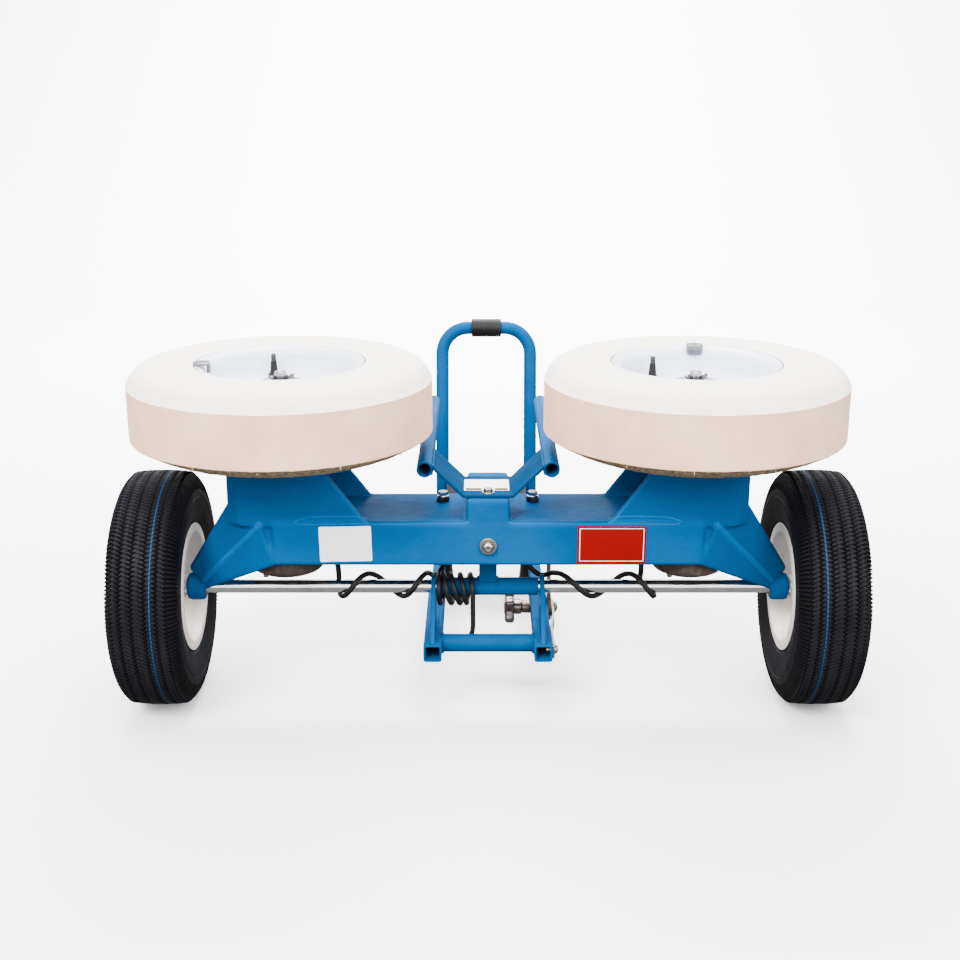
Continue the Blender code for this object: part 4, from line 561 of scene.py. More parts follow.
def moulded_cream(name, colour, stain, amount):
    """Cream side wall: soft moulded surface with faint handling stains and fine pores."""
    n = Nodes(name)
    shade = n.spread(n.noise(13.0, 7.0, 0.65), 0.38, 0.68, 0.0, 0.55)
    tone = n.mix(shade, rgba(colour), darker(colour, 0.90))
    stains = n.spread(n.noise(42.0, 8.0, 0.75), 0.57, 0.76, 0.0, amount)
    tone = n.mix(stains, tone, rgba(stain))
    specks = n.spread(n.noise(520.0, 3.0, 0.6), 0.68, 0.74, 0.0, 0.35)
    tone = n.mix(specks, tone, darker(stain, 0.7))
    normal = n.bump(n.noise(800.0, 3.0, 0.6), 0.00012, 0.5, n.bump(n.noise(90.0, 4.0), 0.0006, 0.35))
    return n.done(tone, 0.78, normal)


def torn_edge(name, colour, stain):
    """The rough lower corner of the tread, where the ground rubber frays and browns."""
    n = Nodes(name)
    tone = n.mix(n.spread(n.noise(140.0, 8.0, 0.8), 0.35, 0.62), rgba(colour), rgba(stain))
    dark = n.spread(n.noise(420.0, 4.0, 0.7), 0.60, 0.72, 0.0, 0.7)
    tone = n.mix(dark, tone, darker(stain, 0.55))
    normal = n.bump(n.noise(300.0, 6.0, 0.8), 0.0012, 0.9)
    return n.done(tone, 0.92, normal)


def plate_finish(name, colour, roughness=0.35):
    """A bare plate or a printed mark: one even colour with faint grime and hardly any shine."""
    n = Nodes(name)
    grime = n.spread(n.noise(60.0, 6.0, 0.7), 0.45, 0.75, 0.0, 0.25)
    tone = n.mix(grime, rgba(colour), darker(colour, 0.82))
    normal = n.bump(n.noise(120.0, 3.0), 0.0002, 0.35)
    return n.done(tone, roughness, normal, Specular_IOR_Level=0.04)


def floor_finish(colour):
    """A plain matt floor with barely seen patches."""
    n = Nodes("pale floor")
    tone = n.mix(n.spread(n.noise(0.8, 4.0), 0.3, 0.7, 0.0, 0.04), rgba(colour), darker(colour, 0.9))
    return n.done(tone, 0.8)


def make_looks(p):
    """Every finish by name. Paint takes grain scale, grain depth, roughness and patch scale; metal takes
    roughness, tarnish colour and its share; rubber takes the bloom's colour and share, and roughness."""
    LOOKS.update({
        "cast blue": paint("cast blue paint", p.blue, 330.0, 0.00042, 0.36, 7.0, sheen=0.010),
        # The yoke's blue is darkened to 45%: painted shade that holds back the strong light on its upward
        # faces
        "shaded yoke blue": paint("yoke paint darkened as painted shade", scaled(p.blue, 0.45), 620.0, 0.00010, 0.40, 9.0, sheen=0.004),
        "blue": paint("blue powder paint", scaled(p.blue, 0.85), 620.0, 0.00010, 0.30, 9.0, sheen=0.012),
        # A lighter copy of the blue for beads on the cast edges: painted highlights where the edges catch the
        # light
        "painted highlight blue": paint("blue painted highlight on a cast edge", scaled(p.blue, 1.4), 330.0, 0.00020, 0.30,
                             7.0, sheen=0.02),
        "motor": paint("motor paint", (0.030, 0.019, 0.0145), 420.0, 0.00020, 0.45, 12.0, 0.06, 0.7),
        "box grey": paint("dark grey box paint", (0.045, 0.045, 0.05), 520.0, 0.00025, 0.5, 8.0, 0.05),
        "white": scuffed_paint("white rim paint", p.white, (0.50, 0.49, 0.48), 0.35),
        "beige": scuffed_paint("off-white rim paint", p.beige, (0.42, 0.36, 0.31), 0.45),
        "cream side": moulded_cream("cream side wall", p.cream, (0.55, 0.40, 0.27), 0.30),
        "cream tread": ground_rubber("ground cream tread", p.tread, (0.60, 0.44, 0.33), p.cream),
        "torn edge": torn_edge("torn tread edge", (0.56, 0.40, 0.22), (0.085, 0.066, 0.036)),
        "tyre": rubber("black tyre rubber", p.rubber, (0.045, 0.040, 0.040), 0.10, 0.50, 900.0, 0.00018,
                       sheen=0.05),
        # The grooves and fin gaps are darker than the tread: painted shade in the recesses, on a rougher
        # finish
        "groove": rubber("tyre grooves darkened as painted shade", (0.0015, 0.0015, 0.002), (0.010, 0.008, 0.007), 0.30, 0.95, 900.0,
                         sheen=0.1),
        # A dark ring on the tyre by the rim's lip: painted shadow of the gap under the lip
        "lip shadow": rubber("painted lip shadow line", (0.10, 0.085, 0.08), (0.05, 0.04, 0.035), 0.5, 0.9),
        "black rubber": rubber("black rubber", (0.006, 0.0055, 0.006), (0.03, 0.026, 0.025), 0.25, 0.42,
                               900.0, sheen=0.14),
        "black plastic": rubber("black plastic", (0.010, 0.010, 0.011), (0.06, 0.06, 0.06), 0.15, 0.38,
                                1500.0, 0.00008),
        # Near-black finish for flat ovals that paint the shade inside a hole
        "painted hole shade": rubber("painted shade inside a hole", (0.006, 0.006, 0.007), (0.02, 0.02, 0.02), 0.2, 0.8),
        "bright steel": metal("bright steel", (0.88, 0.88, 0.89), 0.16, (0.28, 0.26, 0.24), 0.30,
                              (1.0, 0.04, 0.04), 700.0, 0.00002),
        "turned steel": metal("turned steel", (0.34, 0.34, 0.35), 0.22, (0.17, 0.15, 0.13), 0.35),
        "knob steel": metal("cast knob metal", (0.21, 0.185, 0.176), 0.28, (0.09, 0.068, 0.058), 0.6,
                            fine=260.0, depth=0.0003),
        "bare steel": metal("bare brown steel", (0.23, 0.175, 0.14), 0.42, (0.10, 0.058, 0.036), 0.8,
                            fine=220.0, depth=0.00035),
        "nut steel": metal("dark nut steel", (0.060, 0.056, 0.055), 0.40, (0.030, 0.027, 0.025), 0.5),
        "zinc": metal("zinc plate", (0.36, 0.36, 0.32), 0.30, (0.18, 0.17, 0.13), 0.5, fine=380.0,
                      depth=0.00015),
        "dull zinc": metal("dull zinc", (0.24, 0.24, 0.21), 0.44, (0.12, 0.115, 0.095), 0.6, fine=300.0,
                           depth=0.0002),
        "hub blue": metal("hub washer plate", (0.30, 0.36, 0.43), 0.30, (0.20, 0.24, 0.29), 0.4),
        "chrome": metal("bright chrome", (0.36, 0.38, 0.41), 0.12, (0.22, 0.22, 0.23), 0.2, fine=300.0,
                        depth=0.00005),
        "lead grey": metal("clip weight metal", (0.13, 0.135, 0.15), 0.36, (0.12, 0.12, 0.13), 0.6,
                           fine=200.0, depth=0.0003),
        "clip lead": metal("balance weight", (0.13, 0.14, 0.155), 0.42, (0.08, 0.085, 0.09), 0.6),
        "white plate": plate_finish("bare white plate", (0.88, 0.88, 0.87)),
        "red plate": plate_finish("bare red plate", (0.17, 0.001, 0.002)),
        "yellow plate": plate_finish("bare yellow plate", (0.11, 0.036, 0.0003)),
        "blue line": plate_finish("blue tread line", (0.003, 0.05, 0.17), 0.6),
        "ink": plate_finish("black ink", (0.02, 0.02, 0.02)),
        "white ink": plate_finish("white ink", (0.75, 0.75, 0.75)),
        "floor": floor_finish(p.floor),
    })


# Head: casting, pivot, chute and motors

# Cast edges that get a painted highlight, a bead of lighter blue: name, radius, sunk depth and corners
HIGHLIGHT_EDGES = (
    ("beam", 0.0013, 0.0007, [(0.026, -0.070, 0.283), (0.090, -0.070, 0.283), (0.170, -0.070, 0.282),
                      (0.240, -0.070, 0.281), (0.258, -0.070, 0.282)]),
    ("foot", 0.0016, 0.0008, [(0.163, -0.070, 0.2905), (0.200, -0.070, 0.2905), (0.232, -0.070, 0.2900),
                      (0.250, -0.070, 0.2880), (0.262, -0.070, 0.2845)]),
    ("neck", 0.0014, 0.0007, [(0.162, -0.070, 0.285), (0.180, -0.070, 0.307), (0.200, -0.069, 0.331),
                      (0.215, -0.068, 0.349)]),
    ("leg", 0.0075, 0.0064, [(0.306, -0.070, 0.282), (0.335, -0.055, 0.250), (0.370, -0.037, 0.213),
                     (0.400, -0.021, 0.180)]))


def build_casting(p):
    """The casting's own solid, resampled on a fine grid and relaxed: v' = v + 0.5 (mean of neighbours - v),
    repeated, which rounds every edge and fills every inner corner as sand casting does."""
    cast = dressed("head_casting", "cast blue", edge=0.0, name="casting_skin")
    cast.data.set_sharp_from_angle(angle=math.pi)
    add_modifier(cast, "REMESH", mode="VOXEL", voxel_size=p.casting_grid, use_smooth_shade=True)
    add_modifier(cast, "SMOOTH", factor=0.5, iterations=p.casting_soft)
    bpy.context.view_layer.update()
    skin = cast.evaluated_get(bpy.context.evaluated_depsgraph_get())
    # Beads of lighter blue along the cast edges paint their highlights
    for side, d in SIDES.items():
        for name, radius, sunk, corners in HIGHLIGHT_EDGES:
            mirrored = [(d * x, y, z) for x, y, z in corners]
            rubbed_edge(f"cast_highlight_{name}_{side}", skin, mirrored, radius, sunk)
    for side, d in SIDES.items():
        foot = (d * 0.063, 0.029, 0.2832)
        turned(f"beam_bush_{side}", [(0, 0.0), (0.0088, 0.0), (0.0092, 0.0012), (0.0092, 0.0052),
                                     (0.0078, 0.0066), (0, 0.0066)], foot, "z", "black plastic", "head",
               steps=40, soft=0.0004)
        head = (d * 0.063, 0.029, 0.2898)
        turned(f"beam_bolt_flange_{side}", [(0, 0), (0.0085, 0), (0.0085, 0.0012), (0.0066, 0.0022),
                                            (0, 0.0022)], head, "z", "chrome", "head", steps=40, soft=0.0003)
        hex_head(f"beam_bolt_{side}", (d * 0.063, 0.029, 0.2918), "z", 0.0127, 0.0050, "chrome", "head")
        boss_plug(side, d)


def rubbed_edge(name, skin, corners, radius, sunk):
    """A low bead along a cast edge in a lighter blue, a painted highlight where the edge catches the light:
    each point q of the smoothed line becomes n - sunk m, where n is the casting's nearest point to q and m is
    its normal there."""
    path = smooth_path(np.array(corners, float), 0.006)
    hits = [skin.closest_point_on_mesh(Vector(q + AXLE_SHIFT)) for q in path]
    near = np.array([hit[1] - sunk * hit[2] for hit in hits]) - AXLE_SHIFT
    swept(name, near, radius, "painted highlight blue", "head", sides=20)


def boss_plug(side, d):
    """A turned bush in each axle eye, with a thin brown flange on both faces of the boss."""
    outward, inward = ("x", "-x") if d > 0 else ("-x", "x")
    for label, x, axis in (("outer", 0.4237, outward), ("inner", 0.3983, inward)):
        turned(f"eye_bush_{label}_{side}", [(0.0101, -0.002), (0.0101, 0.0011), (0.0128, 0.0011),
                                            (0.0134, 0.0004), (0.0134, -0.002)], (d * x, 0, AXLE_Z), axis,
               "bare steel", "head", steps=48, closed=True, soft=0.0002)


def build_pivot():
    """The turned sleeve and axle, the square post with its welds, and the bolt through the beam. The axle's
    ends shrink by 1.2 mm over their last 1.2 mm."""
    turned("sleeve_tube", [(0.0098, -0.069), (TUBE_R, -0.069), (TUBE_R, 0.071), (0.0098, 0.071)],
           (0, 0, AXLE_Z), "x", "blue", "head", "pivot_sleeve", closed=True, soft=0.0007)
    slab("sleeve_post", box_outline(-0.0125, 0.0125, -0.0125, 0.0125, 0.0022), 0.1758, 0.271, "blue", "head")
    for d in (-1, 1):
        y = np.linspace(-0.0120, 0.0120, 9)
        lift = np.sqrt(0.0129 ** 2 - y ** 2)
        weld(f"post_weld_{'left' if d < 0 else 'right'}",
             np.stack([np.full(9, d * 0.0132), y, AXLE_Z + lift + 0.0004], 1), 0.0018, "blue", "head")
    collar_in, collar_out = 0.4863, 0.4888
    half = [(0.0155, collar_in), (0.0155, collar_out), (AXLE_R, collar_out), (AXLE_R, 0.4988),
            (0.0083, 0.5), (0, 0.5)]
    profile = [(r, -x) for r, x in reversed(half)] + [(AXLE_R, -collar_in), (AXLE_R, collar_in)] + half
    turned("axle_bar", profile, (0, 0, AXLE_Z), "x", "bright steel", "head", "axle", steps=64, soft=0.0002)
    for side, d in SIDES.items():
        x = d * 0.4938
        loop = [(x, 0.0, AXLE_Z + rise) for rise in (-0.0150, -0.0080, 0.0095)]
        t = np.linspace(-0.45 * np.pi, 1.45 * np.pi, 13)
        loop += [(x, 0.0028 * np.cos(a), AXLE_Z + 0.0127 + 0.0028 * np.sin(a)) for a in t]
        swept(f"axle_cotter_{side}", smooth_path(loop, 0.0012), 0.0011, "zinc", "head", sides=10)
    turned("pivot_washer", [(0, 0), (0.012, 0), (0.012, 0.0021), (0.0112, 0.003), (0.0078, 0.003),
                            (0.0078, 0.0026), (0, 0.0026)], (0, BEAM_FRONT, PIVOT_Z), "-y", "dull zinc",
           "head", "pivot_bolt", steps=64, soft=0.0003)
    t = np.linspace(0, np.pi / 2, 10)
    dome = [(0.0074 * np.cos(a), 0.0030 + 0.0046 * np.sin(a)) for a in t[1:-3]]
    socket = [(0.0036, 0.0072), (0.0034, 0.0046), (0, 0.0046)]
    turned("pivot_head", [(0.0072, 0.0), (0.0074, 0.0030), *dome, *socket],
           (0, BEAM_FRONT - 0.0028, PIVOT_Z), "-y", "zinc", "head", steps=64)
    turned("pivot_shank", [(0, 0), (0.0063, 0), (0.0063, 0.1495), (0, 0.1505)], (0, BEAM_FRONT, PIVOT_Z),
           "y", "zinc", "head", steps=32)
    hex_head("pivot_nut", (0, 0.0664, PIVOT_Z), "y", 0.0185, 0.0098, "zinc", "head")


def build_chute():
    """Two turned tubes and the bent strip between them, with plug welds shown as flat dark ovals of painted
    shade, and a bare plate on the seat.
    """
    start, end = -0.062, 0.320
    half = (end - start) / 2
    for side, d in SIDES.items():
        turned(f"chute_pipe_{side}", [(0.0085, -half), (0.0111, -half), (0.0111, half), (0.0085, half)],
               (d * CHUTE_X, start + half, CHUTE_Z), "y", "blue", "head", f"chute_tube_{side}", steps=56,
               closed=True, soft=0.0006)
        for name, x, z in (("upper", 0.0742, 0.3601), ("lower", 0.0756, 0.3490)):
            path = [(d * x, y, z) for y in np.linspace(-0.063, 0.0235, 14)]
            weld(f"chute_weld_{name}_{side}", path, 0.0014 if name == "upper" else 0.0018, "blue", "head")
        # Each plug weld is a flat dark oval: painted shade of the weld's hole
        oval = rounded([(-0.0065, -0.0011), (0.0065, -0.0011), (0.0065, 0.0011), (-0.0065, 0.0011)], 0.0010,
                       closed=True)
        slant = 0.7071
        slab(f"plug_weld_{side}", oval, 0.0, 0.0007, "painted hole shade", "head",
             basis=((0, 1, 0), (-d * slant, 0, -slant), (-d * slant, 0, slant)),
             origin=(d * 0.0652, -0.0350, 0.3513), edge=0.0003)
    # The yoke strip takes the darkened blue, which is painted shade
    dressed("chute_yoke", "shaded yoke blue", edge=0.0009, angle=25.0, dissolve=1.0, name="yoke_strip")
    strip_low, strip_thick = 0.3163, 0.004
    seat = strip_low + strip_thick + 0.0003
    bolt("yoke_screw", (0, -0.054, seat), "z", 0.0112, 0.0056, 0.0083, 0.0012, "zinc", "head", "yoke_bolt",
         shank=(0.0039, 0.0165))
    plate = seat + 0.0001
    slab("seat_plate", box_outline(-0.0325, 0.0285, -0.0450, 0.0060, 0.0012), plate, plate + 0.0004,
         "white plate", "head", edge=0.0001)
    for name, x0, x1 in (("left", -0.0305, -0.0088), ("right", 0.0088, 0.0268)):
        slab(f"seat_stripe_{name}", box_outline(x0, x1, -0.0446, -0.0345, 0.0004), plate + 0.0004,
             plate + 0.00055, "yellow plate", "head", edge=0.00005)


def lead_exit(d):
    """Direction in which a motor's lead leaves the can, and the place on the can."""
    out = np.array([-d * math.cos(GLAND_SLOPE), math.sin(GLAND_SLOPE), 0.0])
    return out, np.array([d * MOTOR_X, MOTOR_Y, GLAND_Z]) + out * MOTOR_R


def build_motors():
    """Turned motor cans with a seam, a domed end and through bolts, each with its lead gland."""
    for side, d in SIDES.items():
        centre = (d * MOTOR_X, MOTOR_Y, 0.197)
        turned(f"motor_can_{side}", [(0, 0.1425), (0.046, 0.1425), (MOTOR_R, 0.1385), (MOTOR_R, 0.0300),
                                     (0.0492, 0.0292), (0.0492, 0.0280), (MOTOR_R, 0.0272), (MOTOR_R, 0.0075),
                                     (0.0492, 0.0040), (0.0465, 0.0012), (0.0400, -0.0018), (0.0320, -0.0036),
                                     (0.0310, -0.0026), (0.0240, -0.0030), (0.0230, -0.0046),
                                     (0.0125, -0.0052), (0.0115, -0.0038), (0, -0.0038)], centre, "z",
               "motor", "head",
               f"motor_{side}", steps=96, soft=0.0012)
        for number, angle in enumerate(np.radians((45, 225))):
            at = np.array([centre[0] + 0.0395 * np.cos(angle), centre[1] + 0.0395 * np.sin(angle), 0.1962])
            hex_head(f"motor_screw_{side}_{number}", at, "-z", 0.007, 0.0040, "dull zinc", "head")
        out, exit_at = lead_exit(d)
        turned(f"motor_gland_{side}", [(0.0035, -0.004), (0.0066, -0.004), (0.0066, 0.0008), (0.0060, 0.0016),
                                       (0.0064, 0.0026), (0.0057, 0.0038), (0.0060, 0.0048), (0.0052, 0.0078),
                                       (0.0035, 0.0078)], exit_at, out, "black rubber", "head", steps=32,
               closed=True, soft=0.0003)
        boss_top, high = 0.408, 0.012
        low = boss_top - 0.002 - high
        turned(f"bearing_{side}", [(0.0083, 0), (0.0127, 0), (0.0127, high), (0.0112, high),
                                   (0.0110, 0.0112), (0.0096, 0.0112), (0.0094, high), (0.0083, high)],
               (d * MOTOR_X, MOTOR_Y, low), "z", "turned steel", "head", f"shaft_bearing_{side}", steps=56,
               closed=True, soft=0.0002)


# Throwing wheels

def throw_tyre_rings():
    """Outline of the throwing tyre's outer skin from the upper bead down to the lower one, as (r, z) with a
    zone. Two low ridges stand near the rim, the upper wall is z = 0.060 - 0.0255 k^5 and the lower one
    z = -0.060 + 0.0235 k^1.6, both with r = 0.145 + 0.059 k, and the ground tread lies flat between them.
    Zones: 0 side wall, 1 tread, 2 torn lower corner, 3 painted shadow under the rim's lip."""
    side = [(0.1051, 0.0538), (0.1120, 0.0552), (0.1142, 0.0560), (0.1150, 0.0574), (0.1162, 0.0582)]
    for r in (0.1215, 0.1265):
        side += [(r, 0.0588), (r + 0.0007, 0.0592), (r + 0.0018, 0.0592), (r + 0.0026, 0.0589)]
    side += [(0.1350, 0.0594), (0.1400, 0.0598), (0.1450, 0.0600)]
    side += [(0.145 + 0.059 * k, 0.060 - 0.0255 * k ** 5) for k in np.linspace(0, 1, 15)[1:-1]]
    side += [(0.2034, 0.0352)]
    tread = [(0.2040, z) for z in np.linspace(0.0345, -0.0360, 24)]
    low = [(r, -z) for r, z in reversed(side)]
    lower_wall = [(0.145 + 0.059 * k, -0.060 + 0.0235 * k ** 1.6) for k in np.linspace(1, 0, 15)[1:-1]]
    low[:15] = [(0.2036, -0.0366), (0.2028, -0.0374), *lower_wall, (0.1450, -0.0600)]
    rings = side + tread + low
    # The first three rings, by the rim's lip, take the painted lip shadow
    lip, torn = 3, 11
    zone = np.repeat([3, 0, 1, 2, 0], [lip, len(side) - lip, len(tread), torn, len(low) - torn])
    return np.array(rings), zone


def build_throw_tyres():
    """Each tyre is its outline turned round the shaft: P = (X + r cos t, Y + r sin t, Z + z). On the lower
    corner r and z get 0.5 mm of summed sines of t, which frays the ground edge."""
    outline, zone = throw_tyre_rings()
    steps = 256
    t = np.linspace(0, 2 * np.pi, steps, endpoint=False)
    inner = np.array([(0.1020, -0.0492), (0.1020, -0.0362), (0.1615, -0.0500), (0.1930, -0.0265),
                      (0.1930, 0.0265), (0.1615, 0.0500), (0.1020, 0.0362), (0.1020, 0.0492)])
    rings = np.concatenate([outline, inner])
    zone = np.concatenate([zone, np.zeros(len(inner), int)])
    fray = (np.sin(37 * t) * np.sin(11 * t + 1) + 0.7 * np.sin(83 * t + 2) * np.sin(5 * t)
            + 0.5 * np.sin(127 * t))
    for side in SIDES:
        centre = THROW[side]
        r = np.repeat(rings[:, :1], steps, 1)
        z = np.repeat(rings[:, 1:], steps, 1)
        torn = np.flatnonzero(zone == 2)
        r[torn] += 0.00022 * fray
        z[torn] += 0.00030 * np.roll(fray, 9)
        points = np.stack([centre[0] + r * np.cos(t), centre[1] + r * np.sin(t), centre[2] + z], -1)
        put(f"throw_tyre_skin_{side}", points, quads(len(rings), steps, True), "cream side",
            f"throw_wheel_{side}", f"throw_tyre_{side}", 22.0, zones=np.repeat(zone, steps),
            more=("cream tread", "torn edge", "lip shadow"))
        turn = 7 if side == "left" else 0
        for number, angle in enumerate(np.radians(np.array([238.0, 262.0, 291.0, 318.0]) + turn)):
            way = np.array([np.cos(angle), np.sin(angle), 0.0])
            start = centre + way * 0.2030 - (0, 0, 0.0372)
            hair = [start, start + way * 0.0016 - (0, 0, 0.0012), start + way * 0.0022 - (0, 0, 0.0036)]
            swept(f"vent_hair_{side}_{number}", smooth_path(hair, 0.0009), 0.00045, "torn edge",
                  f"throw_wheel_{side}", sides=8)


def build_throw_rims():
    """White pressed rims, turned with lip, bead seat, well and dished centre, and their shafts, washers,
    castle nuts, cotter pins, valves and balance weights."""
    outline = [(0.1135, 0.058), (0.1135, 0.0555), (0.1046, 0.0545), (0.1016, 0.050), (0.099, 0.027),
               (0.088, 0.014), (0.088, -0.020), (0.099, -0.033), (0.1016, -0.050), (0.1046, -0.0545),
               (0.1135, -0.0555), (0.1135, -0.058), (0.1026, -0.058), (0.0986, -0.049), (0.096, -0.034),
               (0.085, -0.020), (0.085, 0.008), (0.071, 0.0195), (0.044, 0.0195), (0.0400, 0.0180),
               (0.0310, 0.0180), (0.0290, 0.0195), (0.0083, 0.0195), (0.0083, RIM_SEAT), (0.0290, RIM_SEAT),
               (0.0310, 0.0210), (0.0400, 0.0210), (0.0440, RIM_SEAT), (0.073, RIM_SEAT), (0.085, 0.0155),
               (0.096, 0.029), (0.0986, 0.047), (0.1010, 0.0515), (0.1050, 0.0545), (0.1100, 0.0568)]
    bottom = MOTOR_TOP + 0.0006 - THROW_Z
    for side in SIDES:
        body = f"throw_wheel_{side}"
        centre = THROW[side]
        turned(f"throw_rim_skin_{side}", outline, centre, "z", "white", body, f"throw_rim_{side}", steps=160,
               closed=True, soft=0.0016)
        turned(f"shaft_bar_{side}", [(0, bottom), (0.008, bottom), (0.008, 0.0052), (0.014, 0.0052),
                                     (0.014, 0.0132), (0.026, 0.0142), (0.026, 0.0192), (0.008, 0.0192),
                                     (0.008, 0.0436), (0.0068, 0.0448), (0.0052, 0.0448), (0.0046, 0.0440),
                                     (0, 0.0440)],
               centre, "z", "turned steel", body, f"throw_shaft_{side}", steps=56, soft=0.0003)
        turned(f"nut_washer_{side}", [(0.0084, 0.0003), (0.028, 0.0003), (0.0296, 0.0070), (0.0290, 0.0088),
                                      (0.0272, 0.0096), (0.0146, 0.0090), (0.0142, 0.0028), (0.0084, 0.0028)],
               centre + (0, 0, RIM_SEAT), "z", "hub blue", body, f"throw_nut_{side}", steps=72, closed=True,
               soft=0.0005)
        castle_nut(f"castle_nut_{side}", centre + (0, 0, RIM_SEAT + 0.0030), body)
        way = np.array([math.cos(math.radians(25)), math.sin(math.radians(25)), 0.0])
        hole = centre + (0, 0, RIM_SEAT + 0.0138)
        pin = [hole - way * 0.0165 + (0, 0, 0.004), hole - way * 0.0135, hole, hole + way * 0.0128]
        a = np.linspace(-0.4 * np.pi, 1.4 * np.pi, 12)
        pin += [hole + way * (0.0160 - 0.0028 * np.sin(k)) + (0, 0, 0.0028 * np.cos(k)) for k in a]
        swept(f"nut_cotter_{side}", smooth_path(pin, 0.0012), 0.0012, "bare steel", body, sides=10)
        angle = math.radians({"left": 105.0, "right": 133.0}[side])
        stem = centre + np.array([0.0755 * math.cos(angle), 0.0755 * math.sin(angle), RIM_SEAT + 0.0007])
        turned(f"valve_rubber_{side}", [(0, 0), (0.0082, 0), (0.0082, 0.0012), (0.0074, 0.0026),
                                        (0.0058, 0.0040), (0.0055, 0.0060), (0.0042, 0.0185),
                                        (0.0041, 0.0205), (0, 0.0205)],
               stem, "z", "black rubber", body, f"valve_stem_{side}", steps=40, soft=0.0004)
        ribs = [(0.0036, 0.0)] + [(0.0038 if k % 2 else 0.0033, 0.0004 + 0.0007 * k) for k in range(11)]
        turned(f"valve_cap_{side}", [(0, 0)] + ribs + [(0.0030, 0.0094), (0, 0.0094)], stem + (0, 0, 0.0206),
               "z", "black plastic", body, steps=32)
        clip_weight(side, body)


def castle_nut(name, seat, body):
    """A hexagon under a turned crown, whose top drops by 4 mm in six slots, where cos 6t is near one."""
    steps = 144
    t = np.linspace(0, 2 * np.pi, steps, endpoint=False)
    flat = np.minimum(hexagon(0.0118, t), 0.0136)
    crown = np.full(steps, 0.0106)
    bore = np.full(steps, 0.0085)
    low = np.where(np.cos(6 * t) > 0.72, 0.0, 1.0)
    top = 0.0092 + 0.0043 * low
    rows = [(bore, 0.0), (flat * 0.9, 0.0), (flat, 0.0010), (flat, 0.0078), (flat * 0.93, 0.0088),
            (crown, 0.0088), (crown, 0.0090 + 0.0040 * low), (crown * 0.97, top), (bore + 0.0001, top),
            (bore, 0.0080)]
    r = np.array([radius for radius, _ in rows])
    z = np.array([np.broadcast_to(height, steps) for _, height in rows])
    points = np.asarray(seat) + np.stack([r * np.cos(t), r * np.sin(t), z], -1)
    return put(name, points, quads(len(r), steps, True), "nut steel", body, (), 25.0)


def carried(sections, t, centre):
    """Cross sections (r, z) carried round the shaft, P = (X + r cos t, Y + r sin t, Z + z), and closed by a
    face at both ends: the points and the faces."""
    r, z = sections[..., 0], sections[..., 1]
    steps, count = r.shape
    points = np.stack([r * np.cos(t)[:, None], r * np.sin(t)[:, None], z], -1) + centre
    faces = quads(steps, count).tolist()
    faces += [list(range(count))[::-1], list(range((steps - 1) * count, steps * count))]
    return points, faces


def clip_weight(side, body):
    """A balance weight that grips the rim's lip: a rounded cross section carried along a 13 degree arc, with
    its ends drawn in."""
    centre = THROW[side]
    middle_angle = math.radians({"left": 190.0, "right": 83.0}[side])
    t = middle_angle + np.radians(np.linspace(-6.5, 6.5, 25))
    section = rounded([(0.1139, 0.0583), (0.1136, 0.0608), (0.1050, 0.0617), (0.0935, 0.0612),
                       (0.0918, 0.0540), (0.0922, 0.0470), (0.0974, 0.0467), (0.0972, 0.0583)], 0.0016, 3,
                      closed=True)
    mid = np.array([0.0960, 0.0575])
    size = 0.55 + 0.45 * np.sqrt(np.clip(1 - np.linspace(-1, 1, len(t)) ** 6, 0, 1))
    grown = mid + (section[None] - mid) * size[:, None, None]
    put(f"clip_weight_{side}", *carried(grown, t, centre), "lead grey", body, f"balance_weight_{side}", 30.0)
    clip = rounded([(0.0990, 0.0612), (0.1150, 0.0600), (0.1150, 0.0608), (0.0990, 0.0622)], 0.0001, 1,
                   closed=True)
    t = middle_angle + np.radians(np.linspace(-1.3, 1.3, 7))
    put(f"weight_clip_{side}", *carried(np.repeat(clip[None], len(t), 0), t, centre), "clip lead", body)


# Transport wheels

WHEEL_R = 0.165
LINE_X = 0.0162
LINE_HALF = 0.0007
FIN_SCALE = 1.3


